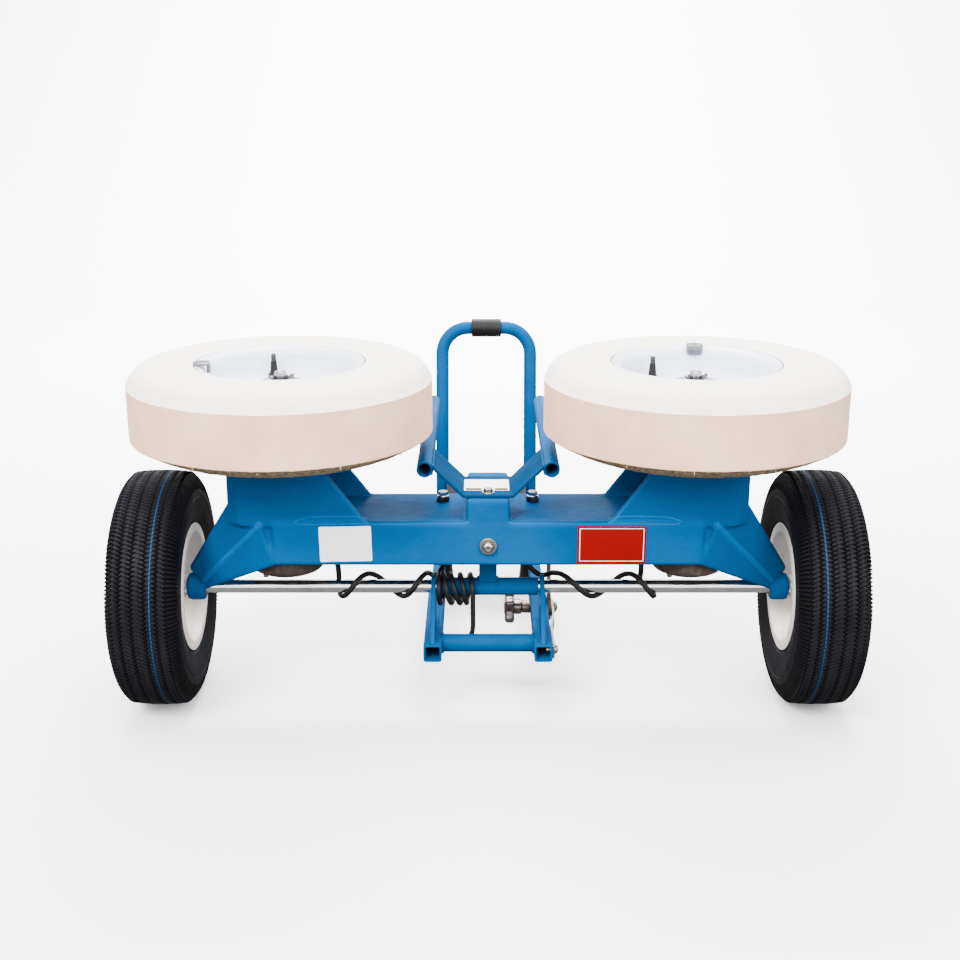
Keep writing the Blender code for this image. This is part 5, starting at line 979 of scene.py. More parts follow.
def tyre_rows(p):
    """The transport tyre's outline as rows (r, x, kind, look), with r = R - 2.2 mm (|x| / 35 mm)^2.4 over the
    tread. Kind 0 keeps still, 1 follows
    the zigzag, 2 and 3 make the shoulder's fins, 4 and 5 also take the small cuts on the left and right of a
    rib and 6 the cuts in its middle. Grooves part five ribs, and one rib carries the dashed line."""
    bounds = np.array([-0.0362, -0.0240, -0.0085, 0.0085, 0.0240, 0.0362])
    w = p.groove_width / 2

    def crown(x):
        return WHEEL_R - 0.0022 * (abs(x) / 0.035) ** 2.4

    rows = []
    for left, right in zip(bounds, bounds[1:]):
        a, b = left + w, right - w
        third = (b - a) / 3
        # Look 1 marks the groove walls and bottoms, which get the darker groove look as painted shade
        rows += [(crown(a) - p.groove, a - 0.0002, 1, 1), (crown(a) - 0.0005, a, 4, 1),
                 (crown(a), a + 0.0005, 4, 0), (crown(a + third), a + third - 0.0004, 4, 0),
                 (crown(a + third), a + third, 1, 0)]
        if left > 0 and right < 0.030:
            rows += [(crown(LINE_X), LINE_X - LINE_HALF, 0, 0), (crown(LINE_X), LINE_X + LINE_HALF, 0, 0)]
        else:
            rows += [(crown(x), x, 6, 0) for x in (a + 1.3 * third, b - 1.3 * third)]
        rows += [(crown(b - third), b - third, 1, 0), (crown(b - third), b - third + 0.0004, 5, 0),
                 (crown(b), b - 0.0005, 5, 0), (crown(b) - 0.0005, b, 5, 1),
                 (crown(b) - p.groove, b + 0.0002, 1, 1)]
    shoulder = [(0.1606, 0.0380, 3), (0.1596, 0.0394, 2), (0.1566, 0.0420, 2), (0.1528, 0.0446, 2),
                (0.1476, 0.0468, 2), (0.1424, 0.0478, 2), (0.1388, 0.0480, 3)]
    wall = [(0.1370, 0.0476), (0.1340, 0.0482), (0.1310, 0.0484), (0.1292, 0.0485), (0.1286, 0.0478),
            (0.1270, 0.0478), (0.1264, 0.0484), (0.1220, 0.0482), (0.1150, 0.0474), (0.1090, 0.0462),
            (0.1030, 0.0446), (0.0985, 0.0434), (0.0960, 0.0430), (0.0952, 0.0420), (0.0935, 0.0418),
            (0.0928, 0.0412), (0.0908, 0.0404), (0.0795, 0.0392)]
    right = [(r, x, k, 0) for r, x, k in shoulder] + [(r, x, 0, 0) for r, x in wall]
    left = [(r, -x, k, 0) for r, x, k, _ in reversed(right)]
    inner = [(r, x, 0, 0) for r, x in ((0.0763, 0.0349), (0.0763, 0.0234), (0.1450, 0.0385), (0.1540, 0.0234),
                                       (0.1540, -0.0234), (0.1450, -0.0385), (0.0763, -0.0234),
                                       (0.0763, -0.0349))]
    return left + rows + right + inner


def build_wheel_tyres(p):
    """Four steps a tooth: tread rows shift along the axle by zigzag x (0, 1, 0, -1), cuts drop one step of
    four, and fin rows drop two. P = (X + x, r cos t, Z + r sin t)."""
    steps = 4 * p.teeth
    t = np.linspace(0, 2 * np.pi, steps, endpoint=False)
    phase = np.arange(steps) % 4
    saw = np.array([0.0, 1.0, 0.0, -1.0])[phase]
    gap = np.where(phase >= 2, 1.0, 0.0)
    cuts = {4: np.where(phase == 0, 1.0, 0.0), 5: np.where(phase == 2, 1.0, 0.0),
            6: np.where(phase == 1, 0.7, 0.0)}
    rows = np.array(tyre_rows(p))
    r, x, kind = (column[:, None] for column in rows.T[:3])
    sunk = np.where(kind == 2, 1.0, np.where(kind == 3, 0.3, 0.0)) * gap * p.fin * FIN_SCALE
    x = x - np.sign(x) * sunk + np.where(np.isin(kind, (1, 4, 5, 6)), p.zigzag * saw, 0.0)
    r = r - sunk
    for number, shape in cuts.items():
        r = r - np.where(kind == number, p.sipe * shape, 0.0)
    line = np.flatnonzero(np.abs(rows[:, 1] - LINE_X + LINE_HALF) < 1e-9)[0]
    zone = np.repeat(rows[:, 3:].astype(int), steps, 1)
    zone[line] = np.where(phase != 3, 2, 0)
    # The fin gaps take the darker groove look too: painted shade
    zone = np.where((kind == 2) & (phase >= 2), 1, zone)
    for side, d in SIDES.items():
        centre = WHEEL[side]
        points = np.stack([centre[0] - d * x, np.broadcast_to(r * np.cos(t), x.shape),
                           centre[2] + np.broadcast_to(r * np.sin(t), x.shape)], -1)
        put(f"wheel_tyre_skin_{side}", points, quads(len(rows), steps, True), "tyre",
            f"transport_wheel_{side}", f"wheel_tyre_{side}", 30.0, zones=zone.ravel(),
            more=("groove", "blue line"))


def build_wheel_rims():
    """Off-white pressed rims, turned round the axle, with a hub tube, hub welds, rivets and a valve."""
    outline = [(0.090, 0.0434), (0.090, 0.0409), (0.079, 0.0399), (0.076, 0.0354), (0.074, 0.024),
               (0.064, 0.014), (0.064, -0.014), (0.074, -0.024), (0.076, -0.0354), (0.079, -0.0399),
               (0.090, -0.0409), (0.090, -0.0434), (0.077, -0.0434), (0.073, -0.0344), (0.071, -0.025),
               (0.061, -0.013), (0.0500, -0.0085), (0.0300, -0.0040), (0.0165, -0.004), (0.0165, -0.029),
               (0.009825, -0.029), (0.009825, 0.029), (0.0165, 0.029), (0.0165, -0.001), (0.0300, -0.0010),
               (0.0490, -0.0030), (0.061, 0.005), (0.071, 0.025), (0.073, 0.0344), (0.077, 0.0434)]
    for side, d in SIDES.items():
        body = f"transport_wheel_{side}"
        centre = WHEEL[side]
        outward = "x" if d > 0 else "-x"
        turned(f"wheel_rim_skin_{side}", outline, centre, outward, "beige", body, f"wheel_rim_{side}",
               steps=144, closed=True, soft=0.0013)
        a = np.linspace(0, 2 * np.pi, 40)
        for face, x in (("outer", 0.0), ("inner", -0.0046)):
            path = np.stack([np.full(len(a), centre[0] + d * x), 0.0172 * np.cos(a),
                             centre[2] + 0.0172 * np.sin(a)], 1)
            weld(f"hub_weld_{face}_{side}", path, 0.0016, "beige", body, pitch=0.0034)
        for number in range(4):
            a = math.radians(45 + 90 * number)
            at = np.array([centre[0] + d * -0.0062, 0.0405 * math.cos(a), centre[2] + 0.0405 * math.sin(a)])
            turned(f"rim_bolt_{side}_{number}", [(0, 0.0125), (0.0040, 0.0120), (0.0062, 0.0095),
                                                 (0.0066, 0.0060), (0.0066, -0.0035), (0.0060, -0.0060),
                                                 (0, -0.0064)],
                   at, outward, "dull zinc", body, steps=28, soft=0.0004)
        valve = np.array([centre[0] + d * 0.0075, 0.0, centre[2] - 0.0495])
        turned(f"wheel_valve_rubber_{side}", [(0, 0), (0.0074, 0), (0.0074, 0.0010), (0.0052, 0.0040),
                                              (0.0036, 0.0150), (0.0034, 0.0238), (0, 0.0238)],
               valve, outward, "black rubber", body, f"wheel_valve_{side}", steps=32, soft=0.0004)


# Base: rails, plates, clamp, rear frame and control box

def post_at(z, x=0.0):
    """A point on the middle line of a leaning post at the height z."""
    return np.array([x, POST_Y + (z - RAIL_Z) * math.tan(POST_LEAN), z])


def on_posts(x, back, up):
    """A point from the middle of the leaning posts at the box's height: across, back and along them."""
    y = POST_Y + (BOX_Z - RAIL_Z) * math.tan(POST_LEAN)
    return np.array([x, y + back * math.cos(POST_LEAN) + up * math.sin(POST_LEAN),
                     BOX_Z - back * math.sin(POST_LEAN) + up * math.cos(POST_LEAN)])


ON_PANEL = ((1, 0, 0), (0, math.sin(POST_LEAN), math.cos(POST_LEAN)),
            (0, math.cos(POST_LEAN), -math.sin(POST_LEAN)))
PANEL_FACE = -POST_R + 0.003
HANDLE_BEND = 0.045
RAIL_END = POST_Y - 0.0117
DIAL_UP = 0.014


def square_pipe(name, x, y0, y1, z, side, wall, corner, node):
    """A square tube: a rounded square outline carried along Y, with its bore's outline carried back."""
    h = side / 2
    outer = box_outline(x - h, x + h, z - h, z + h, corner)
    inner = box_outline(x - h + wall, x + h - wall, z - h + wall, z + h - wall, corner * 0.6)
    return slab(name, outer, y0, y1, "blue", "base", node, plane="xz", edge=0.0005, hole=inner)


def build_base_front():
    """Square rails, axle plates, the round cross tube and their weld beads."""
    for side, d in SIDES.items():
        square_pipe(f"rail_tube_{side}", d * RAIL_X, -0.076, 0.180, RAIL_Z, 2 * TUBE_R, 0.0028, 0.004,
                    f"front_rail_{side}")
        dressed(f"axle_plate_{side}", "blue", edge=0.0007, angle=35.0, dissolve=0.5)
        for face in (-1, 1):
            x = d * RAIL_X + face * 0.0040
            path = [(x, y, 0.1079) for y in np.linspace(-0.070, 0.0150, 12)]
            weld(f"plate_weld_{side}_{'outer' if face == d else 'inner'}", path, 0.0021, "blue", "base")
        a = np.linspace(0, 2 * np.pi, 32)
        ring = np.stack([np.full(32, d * (RAIL_X - TUBE_R - 0.0008)), CROSS_Y + 0.0131 * np.cos(a),
                         RAIL_Z + 0.0131 * np.sin(a)], 1)
        weld(f"cross_weld_{side}", ring, 0.0018, "blue", "base", pitch=0.0032)
        bolt(f"lock_bolt_{side}", (d * RAIL_X, 0.150, 0.1076), "z", 0.0108, 0.0048, 0.0075, 0.0012, "zinc",
             "base", f"lock_screw_{side}", shank=(0.0034, 0.0030))
    turned("cross_pipe", [(0.0102, -0.0636), (TUBE_R, -0.0636), (TUBE_R, 0.0636), (0.0102, 0.0636)],
           (0, CROSS_Y, RAIL_Z), "x", "blue", "base", "cross_tube", steps=56, closed=True, soft=0.0004)
    for number, y in enumerate((0.075, 0.165)):
        a = np.radians(np.linspace(205, 335, 15))
        drop = RAIL_Z - TUBE_R - CONTROL_CABLE_R
        arch = np.stack([-RAIL_X + 0.0046 * np.cos(a), np.full(15, y), drop + 0.0046 * np.sin(a)], 1)
        ends = np.array([[-RAIL_X - 0.0075, y, drop + 0.0026], [-RAIL_X + 0.0075, y, drop + 0.0026]])
        clip = np.concatenate([ends[:1], arch, ends[1:]])
        swept(f"lead_clip_{number}", smooth_path(clip, 0.0012), 0.0011, "black plastic", "base", sides=10,
              flat=2.4)
        for d in (-1, 1):
            turned(f"clip_rivet_{number}_{'left' if d < 0 else 'right'}",
                   [(0, 0), (0.0024, 0), (0.0022, 0.0010), (0, 0.0015)],
                   (-RAIL_X + d * 0.0078, y, drop + 0.0040), "-z", "zinc", "base", steps=20)


def build_clamp(p):
    """The quadrant, keeper strap, boss, screw and lobed knob: r(t) = R - c + c cos(n t)."""
    dressed("tilt_quadrant", "bare steel", edge=0.0006, angle=30.0, dissolve=0.4)
    dressed("keeper_strap", "zinc", edge=0.0005, angle=30.0, dissolve=0.4)
    y, z = CLAMP_Y, RAIL_Z
    t = np.linspace(0, 2 * np.pi, 160, endpoint=False)
    r = 0.027 - 0.0045 + 0.0045 * np.cos(p.lobes * t)
    lobes = np.stack([y + r * np.cos(t), z + r * np.sin(t)], 1)
    hole = ring_outline((y, z), 0.0052, 160)
    slab("knob_head", lobes, 0.026, 0.040, "knob steel", "clamp_knob", "clamp_knob", plane="yz", edge=0.0036,
         hole=hole)
    turned("knob_dish", [(0.0052, 0.0004), (0.0052, -0.0006), (0.0095, -0.0010), (0.0110, -0.0004),
                         (0.0112, 0.0008)],
           (0.026, y, z), "x", "knob steel", "clamp_knob", steps=56, closed=True)
    turned("knob_hub", [(0.0052, 0.0), (0.0110, 0.0), (0.0110, 0.0102), (0.0098, 0.0113), (0.0052, 0.0113)],
           (0.040, y, z), "x", "knob steel", "clamp_knob", steps=56, closed=True, soft=0.0005)
    turned("boss_collar", [(0.0051, 0.0), (0.0084, 0.0), (0.0092, 0.0008), (0.0092, 0.0112), (0.0086, 0.0120),
                           (0.0051, 0.0120)], (0.0516, y, z), "x", "bare steel", "base", "clamp_boss",
           steps=56, closed=True, soft=0.0003)
    turned("screw_bar", [(0, 0.0320), (0.0040, 0.0320), (0.00476, 0.0330), (0.00476, 0.0978),
                         (0.0092, 0.0978), (0.0092, 0.0988), (0.0078, 0.1020), (0.0040, 0.1046), (0, 0.1053)],
           (0, y, z), "x", "zinc", "base", "clamp_screw", steps=48, soft=0.0003)
    turned("strap_screw", [(0, -0.0120), (0.004, -0.0120), (0.004, 0.0), (0.0068, 0.0), (0.0066, 0.0012),
                           (0.0056, 0.0030), (0.0036, 0.0042), (0.0022, 0.0044), (0.0020, 0.0026),
                           (0, 0.0026)], (0.0929, STRAP_Y, z), "x", "zinc", "base", "strap_bolt", steps=40)


def build_rear_frame():
    """Rear rails, the bent handle tube swept along its bends, ribbed feet and a ringed grip."""
    bottom = FOOT_Z + POST_R * math.sin(POST_LEAN)
    corners = [post_at(z, x) for z, x in ((bottom, -RAIL_X), (HANDLE_TOP, -RAIL_X), (HANDLE_TOP, RAIL_X),
                                          (bottom, RAIL_X))]
    path = [corners[0]]
    for before, corner, after in zip(corners, corners[1:], corners[2:]):
        a = (before - corner) / np.linalg.norm(before - corner)
        b = (after - corner) / np.linalg.norm(after - corner)
        centre = corner + (a + b) * HANDLE_BEND
        turn = np.linspace(0, np.pi / 2, 13)[:, None]
        path += list(centre - b * HANDLE_BEND * np.cos(turn) - a * HANDLE_BEND * np.sin(turn))
    path.append(corners[-1])
    swept("handle_tube", np.array(path), POST_R, "blue", "base", "handle_frame", sides=40)
    rings = [(0.0152 + 0.0008 * (k % 2), -0.0255 + 0.0017 * k) for k in range(31)]
    turned("handle_sleeve", [(0.0114, -0.026), *rings, (0.0114, 0.026)], post_at(HANDLE_TOP), "x",
           "black rubber", "base", "handle_grip", steps=56, closed=True, soft=0.0004)
    for side, d in SIDES.items():
        square_pipe(f"rear_tube_{side}", d * RAIL_X, 0.112, RAIL_END, RAIL_Z, 0.01905, 0.002, 0.003,
                    f"rear_rail_{side}")
        ribs = [(0.0188, 0.0015), (0.0190, 0.0030)]
        for k in range(5):
            ribs += [(0.0188 - 0.0004 * k, 0.0055 + 0.0045 * k), (0.0180 - 0.0004 * k, 0.0066 + 0.0045 * k),
                     (0.0180 - 0.0004 * k, 0.0078 + 0.0045 * k), (0.0187 - 0.0004 * k, 0.0089 + 0.0045 * k)]
        foot = post_at(FOOT_Z, d * RAIL_X)
        neck = [(0.0166, 0.0325), (0.0152, 0.034), (0.0117, 0.0338), (0.0114, 0.020), (0, 0.020)]
        turned(f"foot_boot_{side}", [(0, 0), (0.0175, 0.0), *ribs, *neck], (foot[0], foot[1], 0.0), "z",
               "black rubber", "base", f"foot_{side}", steps=64, soft=0.0004)
        half = 0.0095
        ring = rounded([(d * RAIL_X + a * half, RAIL_END, RAIL_Z + b * half)
                        for a, b in ((-1, -1), (1, -1), (1, 1), (-1, 1))], 0.003, closed=True)
        ring[:, 1] += (ring[:, 2] - RAIL_Z) * math.tan(POST_LEAN) + 0.0004
        weld(f"post_joint_weld_{side}", np.concatenate([ring, ring[:1]]), 0.0016, "blue", "base", pitch=0.003)


def letters(name, text, size, x, back, up, look, body):
    """A figure or plain mark on the panel: its filled outline, laid on the panel's slope."""
    curve = bpy.data.curves.new(name, "FONT")
    curve.body = text
    curve.size = size
    curve.align_x = "CENTER"
    curve.align_y = "CENTER"
    curve.extrude = 0.00012
    holder = bpy.data.objects.new(f"{name}_curve", curve)
    bpy.context.scene.collection.objects.link(holder)
    bpy.context.view_layer.update()
    mesh = bpy.data.meshes.new_from_object(holder.evaluated_get(bpy.context.evaluated_depsgraph_get()))
    bpy.data.objects.remove(holder)
    flat = np.empty(len(mesh.vertices) * 3)
    mesh.vertices.foreach_get("co", flat)
    flat = flat.reshape(-1, 3)
    a, b, c = (np.array(v) for v in ON_PANEL)
    places = on_posts(x, back, up) + AXLE_SHIFT - flat[:, :1] * a + flat[:, 1:2] * b + flat[:, 2:] * c
    mesh.vertices.foreach_set("co", places.ravel())
    mesh.name = name
    mesh.materials.clear()
    mesh.materials.append(LOOKS[look])
    obj = bpy.data.objects.new(name, mesh)
    bpy.context.scene.collection.objects.link(obj)
    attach(obj, body)
    return obj


def build_control_box():
    """Box and panel with screws, two dials with figures, the rocker with its marks and the mains inlet."""
    dressed("control_box", "box grey", edge=0.0007, angle=35.0, dissolve=0.3)
    dressed("control_panel", "box grey", edge=0.0004, angle=35.0, dissolve=0.3)
    dressed("power_inlet", "black plastic", edge=0.0003, angle=35.0, dissolve=0.3)
    dressed("power_switch", "black plastic", edge=0.0003, angle=35.0, dissolve=0.3)
    a, b, c = (np.array(v) for v in ON_PANEL)
    for number, (x, up) in enumerate(((-0.058, -0.045), (0.058, -0.045), (-0.058, 0.045), (0.058, 0.045))):
        turned(f"panel_screw_{number}", [(0, 0), (0.0034, 0), (0.0031, 0.0012), (0.0018, 0.0019),
                                         (0.0012, 0.0019), (0.0010, 0.0010), (0, 0.0010)],
               on_posts(x, PANEL_FACE + 0.0001, up), c, "zinc", "base", steps=28)
    for side, d in SIDES.items():
        body = f"speed_dial_{side}"
        seat = on_posts(d * DIAL_X, PANEL_FACE + 0.0014, DIAL_UP)
        ribs = 24
        t = np.linspace(0, 2 * np.pi, ribs * 8, endpoint=False)
        wave = 0.00045 * np.cos(ribs * t)
        rows = np.array([(0.0, 0.0, 0), (0.0160, 0.0, 0), (0.0170, 0.0008, 0), (0.0168, 0.0030, 0),
                         (0.0158, 0.0040, 1), (0.0150, 0.0150, 1), (0.0144, 0.0172, 1), (0.0134, 0.0180, 0),
                         (0.0118, 0.0180, 0), (0.0112, 0.0174, 0), (0.0, 0.0172, 0)])
        r = rows[:, :1] + rows[:, 2:] * wave
        h = np.repeat(rows[:, 1:2], len(t), 1)
        points = seat + (r * np.cos(t))[..., None] * a + (r * np.sin(t))[..., None] * b + h[..., None] * c
        put(f"dial_knob_{side}", points, quads(len(rows), len(t)), "black plastic", body,
            f"speed_dial_{side}", 30.0)
        slab(f"dial_pointer_{side}", box_outline(-0.0007, 0.0007, 0.0030, 0.0114, 0.0003), 0.01745, 0.0182,
             "white ink", body, basis=ON_PANEL, origin=seat, edge=0.0001)
        face = on_posts(d * DIAL_X, PANEL_FACE + 0.0001, DIAL_UP)
        slab(f"dial_plate_{side}", ring_outline((0, 0), 0.0262, 72), 0.0, 0.0004, "ink", "base",
             basis=ON_PANEL, origin=face, edge=0.0001, hole=ring_outline((0, 0), 0.0120, 72))
        for mark in range(11):
            turn = math.radians(225 - 27 * mark)
            u = np.array([-math.cos(turn), math.sin(turn)])
            v = np.array([u[1], -u[0]])
            w = v * 0.00025
            tick = [u * 0.0182 + w, u * 0.0204 + w, u * 0.0204 - w, u * 0.0182 - w]
            slab(f"dial_tick_{side}_{mark}", np.array(tick), 0.0004, 0.00055, "white ink", "base",
                 basis=ON_PANEL, origin=face, edge=0.00005)
            if mark % 2 == 0:
                letters(f"dial_figure_{side}_{mark}", str(mark), 0.0042, d * DIAL_X + u[0] * 0.0232,
                        PANEL_FACE + 0.0007, DIAL_UP + u[1] * 0.0232, "white ink", "base")
    letters("switch_on", "I", 0.0050, -0.030, PANEL_FACE + 0.0084, -0.0165, "white ink", "power_switch")
    turned("box_gland_nut", [(0.0036, 0.0), (0.0088, 0.0), (0.0088, 0.0050), (0.0076, 0.0058),
                             (0.0078, 0.0070), (0.0070, 0.0084), (0.0072, 0.0096), (0.0066, 0.0138),
                             (0.0036, 0.0138)],
           on_posts(*GLAND_ON_BOX), -c, "black plastic", "base", steps=40, closed=True,
           soft=0.0004)


# Leads

WRAP_TURNS = (0.25, 0.5, 1.0, 1.5, 2.0, 2.25)
WRAP_X = {"left": (0.212, 0.208, 0.1725, 0.1235, 0.089, 0.076),
          "right": (0.2174, 0.236, 0.204, 0.154, 0.1037, 0.078)}
JOINT = np.array([-0.050, 0.038, 0.2125])
WRAP_R = 0.0158
WRAP_Z = AXLE_Z + 0.0018
COIL_R = 0.0205
COIL_TURNS = 4.25
TURN_POINTS = 24
GLAND_ON_BOX = (-0.045, -0.0114 - 0.074, -0.030)


def wrap_path(side):
    """The winding on the axle: P = (x(turn), w sin a, z + w cos a) with a = 2 pi turn, where x follows the
    places seen by cubic Hermite stretches between the stated turns."""
    points = []
    places = WRAP_X[side]
    for i in range(len(WRAP_TURNS) - 2):
        t0, t1 = WRAP_TURNS[i:i + 2]
        back = max(0, i - 1)
        slope0 = (places[i + 1] - places[back]) / (t1 - WRAP_TURNS[back])
        slope1 = (places[i + 2] - places[i]) / (WRAP_TURNS[i + 2] - t0)
        turn = t0 + np.arange(round((t1 - t0) * TURN_POINTS)) / TURN_POINTS
        u = (turn - t0) / (t1 - t0)
        x = (places[i] * (1 + 2 * u) * (1 - u) ** 2 + places[i + 1] * u * u * (3 - 2 * u)
             + (slope0 * u * (1 - u) ** 2 - slope1 * u * u * (1 - u)) * (t1 - t0))
        a = 2 * np.pi * turn
        points.append(np.stack([SIDES[side] * x, WRAP_R * np.sin(a), WRAP_Z + WRAP_R * np.cos(a)], 1))
    return np.concatenate(points)


def build_leads():
    """Motor leads wound on the axle, the loose turns on the sleeve and the run to the box, each one tube
    along its whole route. Only the run's top end bends, between the head and the base."""
    slab("joint_body", box_outline(-0.063, -0.037, 0.029, 0.047, 0.003), 0.2055, 0.2207, "black rubber",
         "head", "lead_joint", edge=0.0022)
    for side, d in SIDES.items():
        out, exit_at = lead_exit(d)
        start = exit_at + out * 0.001
        first = [start, start + out * 0.012, start + out * 0.019 - (0, 0, 0.004),
                 (d * (WRAP_X[side][0] + 0.001), 0.0166, 0.188)]
        last = {"left": [(-0.0885, 0.0020, 0.1826), (-0.0850, 0.0145, 0.1795), (-0.0775, 0.0240, 0.1725),
                         (-0.0690, 0.0268, 0.1750), (-0.0650, 0.0285, 0.1850), (-0.0710, 0.0330, 0.1985),
                         (-0.0735, 0.0370, 0.2085), JOINT - (0.0195, 0, 0), JOINT - (0.0130, 0, 0)],
                "right": [(0.1030, 0.0020, 0.1826), (0.0925, 0.0150, 0.1795), (0.0780, 0.0240, 0.1725),
                          (0.0670, 0.0270, 0.1770), (0.0560, 0.0290, 0.1880), (0.0450, 0.0330, 0.1990),
                          (0.0280, 0.0370, 0.2070), (0.0, 0.0380, 0.2110), JOINT + (0.0130, 0, 0)]}[side]
        route = np.array([*first, *wrap_path(side), *last], float)
        swept(f"motor_cable_{side}", smooth_path(route, 0.0022), MOTOR_CABLE_R, "black rubber", "head",
              f"motor_lead_{side}", sides=14)
    turn = np.arange(round(COIL_TURNS * TURN_POINTS) + 1) / TURN_POINTS
    a = 2 * np.pi * turn
    hang = AXLE_Z + TUBE_R + LEAD_R + 0.0006 - COIL_R
    lean = 0.18 * np.clip(turn - 0.5, 0, 1) * np.clip(3.65 - turn, 0, 1)
    coil = np.stack([-0.069 + 0.012 * np.maximum(0.0, turn - 0.25) - lean * COIL_R * np.cos(a),
                     -COIL_R * np.sin(a), hang + COIL_R * np.cos(a)], 1)
    down = [JOINT + (-0.004, -0.0086, 0.0005), JOINT + (-0.004, -0.0150, 0.0004), (-0.0560, 0.0180, 0.2070),
            (-0.0590, 0.0172, 0.1970), (-0.0640, 0.0145, 0.1890), (-0.0682, 0.0080, 0.1837)]
    end = coil[-1] + (0, -0.0002, -0.010)
    swept("control_cable_coil", smooth_path(np.concatenate([down, coil, [end]]), 0.0018), CONTROL_CABLE_R,
          "black rubber", "head", "control_lead_coil", sides=14)
    below = RAIL_Z - TUBE_R - LEAD_R - 0.0003
    across, back, up = GLAND_ON_BOX
    tip = on_posts(across, back - 0.006, up)
    way = tip - on_posts(across, back, up)
    run = np.array([end, end - (0, 0, 0.015), (end[0], end[1], 0.112),
                    (end[0] - 0.003, end[1] + 0.0005, 0.099), (-0.034, end[1] + 0.003, 0.091),
                    (-0.048, -0.012, 0.0850), (-0.062, -0.002, below + 0.001),
                    (-0.0735, 0.016, below), (-RAIL_X, 0.045, below), (-RAIL_X, 0.120, below),
                    (-RAIL_X, 0.200, below), (-RAIL_X, 0.280, below), (-0.0745, 0.325, below),
                    (-0.064, 0.352, below + 0.003), tip + way * 4, tip + way, tip - way * 0.5], float)
    cable = swept("control_cable_run", smooth_path(run, 0.004), CONTROL_CABLE_R, "black rubber", None,
                  "control_lead_run", sides=14)
    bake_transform(cable)


# Bare plates on the beam's front

def build_plates():
    """Plain label plates with nothing printed on them: a white one, and a red one with a white inner line."""
    for name, look, lean, x0, x1, z0, z1 in (
            ("plate_white", "white plate", 1.2, -0.2278, -0.1573, 0.2282, 0.2780),
            ("plate_red", "red plate", -0.4, 0.1203, 0.2129, 0.2255, 0.2785)):
        lean = math.radians(lean)
        mid = np.array([(x0 + x1) / 2, (z0 + z1) / 2])
        turn = np.array([[math.cos(lean), math.sin(lean)], [-math.sin(lean), math.cos(lean)]])
        outline = (np.array(box_outline(x0, x1, z0, z1, 0.0020)) - mid) @ turn + mid
        slab(name, outline, BEAM_FRONT - 0.0006, BEAM_FRONT, look, "head", plane="xz", edge=0.0002)
    outer = box_outline(0.1231, 0.2101, 0.2283, 0.2757, 0.0010)
    inner = box_outline(0.1240, 0.2092, 0.2292, 0.2748, 0.0008)
    slab("plate_line", outer, BEAM_FRONT - 0.00075, BEAM_FRONT - 0.0006, "white ink", "head", plane="xz",
         edge=0.00005, hole=inner)


# Stage: name, place, size, power, colour and aim of each lamp

LAMPS = (
    ("key_lamp", (-1.6, -2.8, 2.9), 1.6, 320.0, (1.0, 0.99, 0.97), (0, 0, 0.3)),
    ("fill_lamp", (2.0, -2.8, 2.2), 2.0, 125.0, (0.98, 0.99, 1.0), (0, 0, 0.3)),
    ("top_lamp", (0.0, -0.2, 3.0), 2.4, 130.0, (1.0, 1.0, 1.0), (0, 0, 0.3)),
    ("wall_lamp", (0.0, 2.4, 3.4), 2.4, 1250.0, (1.0, 1.0, 1.0), (0, 4.6, 0.3)),
)


def stage_floor():
    """A pale floor that curves up into a backdrop: z = R (1 - cos a) at y = Y + R sin a. It is hidden from
    bounced and mirrored rays, so that it doesn't wash out the blue."""
    start, radius, top = 3.0, 2.0, 9.0
    a = np.linspace(0, np.pi / 2, 24)
    run = np.concatenate([[-6.0], start + radius * np.sin(a), [start + radius]])
    rise = np.concatenate([[0.0], radius * (1 - np.cos(a)), [top]])
    x = np.linspace(-9.0, 9.0, 7)
    grid = np.stack(np.broadcast_arrays(x[None, :], run[:, None], rise[:, None] - 0.0002), -1)
    mesh = bpy.data.meshes.new("studio_floor")
    mesh.from_pydata(grid.reshape(-1, 3).tolist(), [], quads(len(run), len(x), wrap_columns=False).tolist())
    mesh.materials.append(LOOKS["floor"])
    mesh.shade_smooth()
    floor = bpy.data.objects.new("studio_floor", mesh)
    bpy.context.scene.collection.objects.link(floor)
    floor.visible_glossy = False
    floor.visible_diffuse = False
    return floor


def stage_lamp(name, at, size, power, colour, aim):
    """A round soft lamp turned towards its aim."""
    lamp = bpy.data.lights.new(name, "AREA")
    lamp.shape = "DISK"
    lamp.size = size
    lamp.energy = power
    lamp.color = colour
    obj = bpy.data.objects.new(name, lamp)
    bpy.context.scene.collection.objects.link(obj)
    obj.location = Vector(at)
    obj.rotation_mode = "QUATERNION"
    obj.rotation_quaternion = (Vector(aim) - Vector(at)).to_track_quat("-Z", "Y")
    return obj


def stage_sky():
    """A white sky whose strength rises from 0.35 under the horizon to 3.6 over it."""
    world = bpy.data.worlds.new("studio")
    world.use_nodes = True
    nodes, links = world.node_tree.nodes, world.node_tree.links
    way = nodes.new("ShaderNodeTexCoord")
    height = nodes.new("ShaderNodeSeparateXYZ")
    level = nodes.new("ShaderNodeMapRange")
    level.inputs["From Min"].default_value = -0.12
    level.inputs["From Max"].default_value = 0.10
    level.inputs["To Min"].default_value = 0.35
    level.inputs["To Max"].default_value = 3.6
    links.new(way.outputs["Generated"], height.inputs[0])
    links.new(height.outputs["Z"], level.inputs["Value"])
    background = nodes["Background"]
    background.inputs["Color"].default_value = (1.0, 1.0, 1.0, 1.0)
    links.new(level.outputs["Result"], background.inputs["Strength"])
    bpy.context.scene.world = world


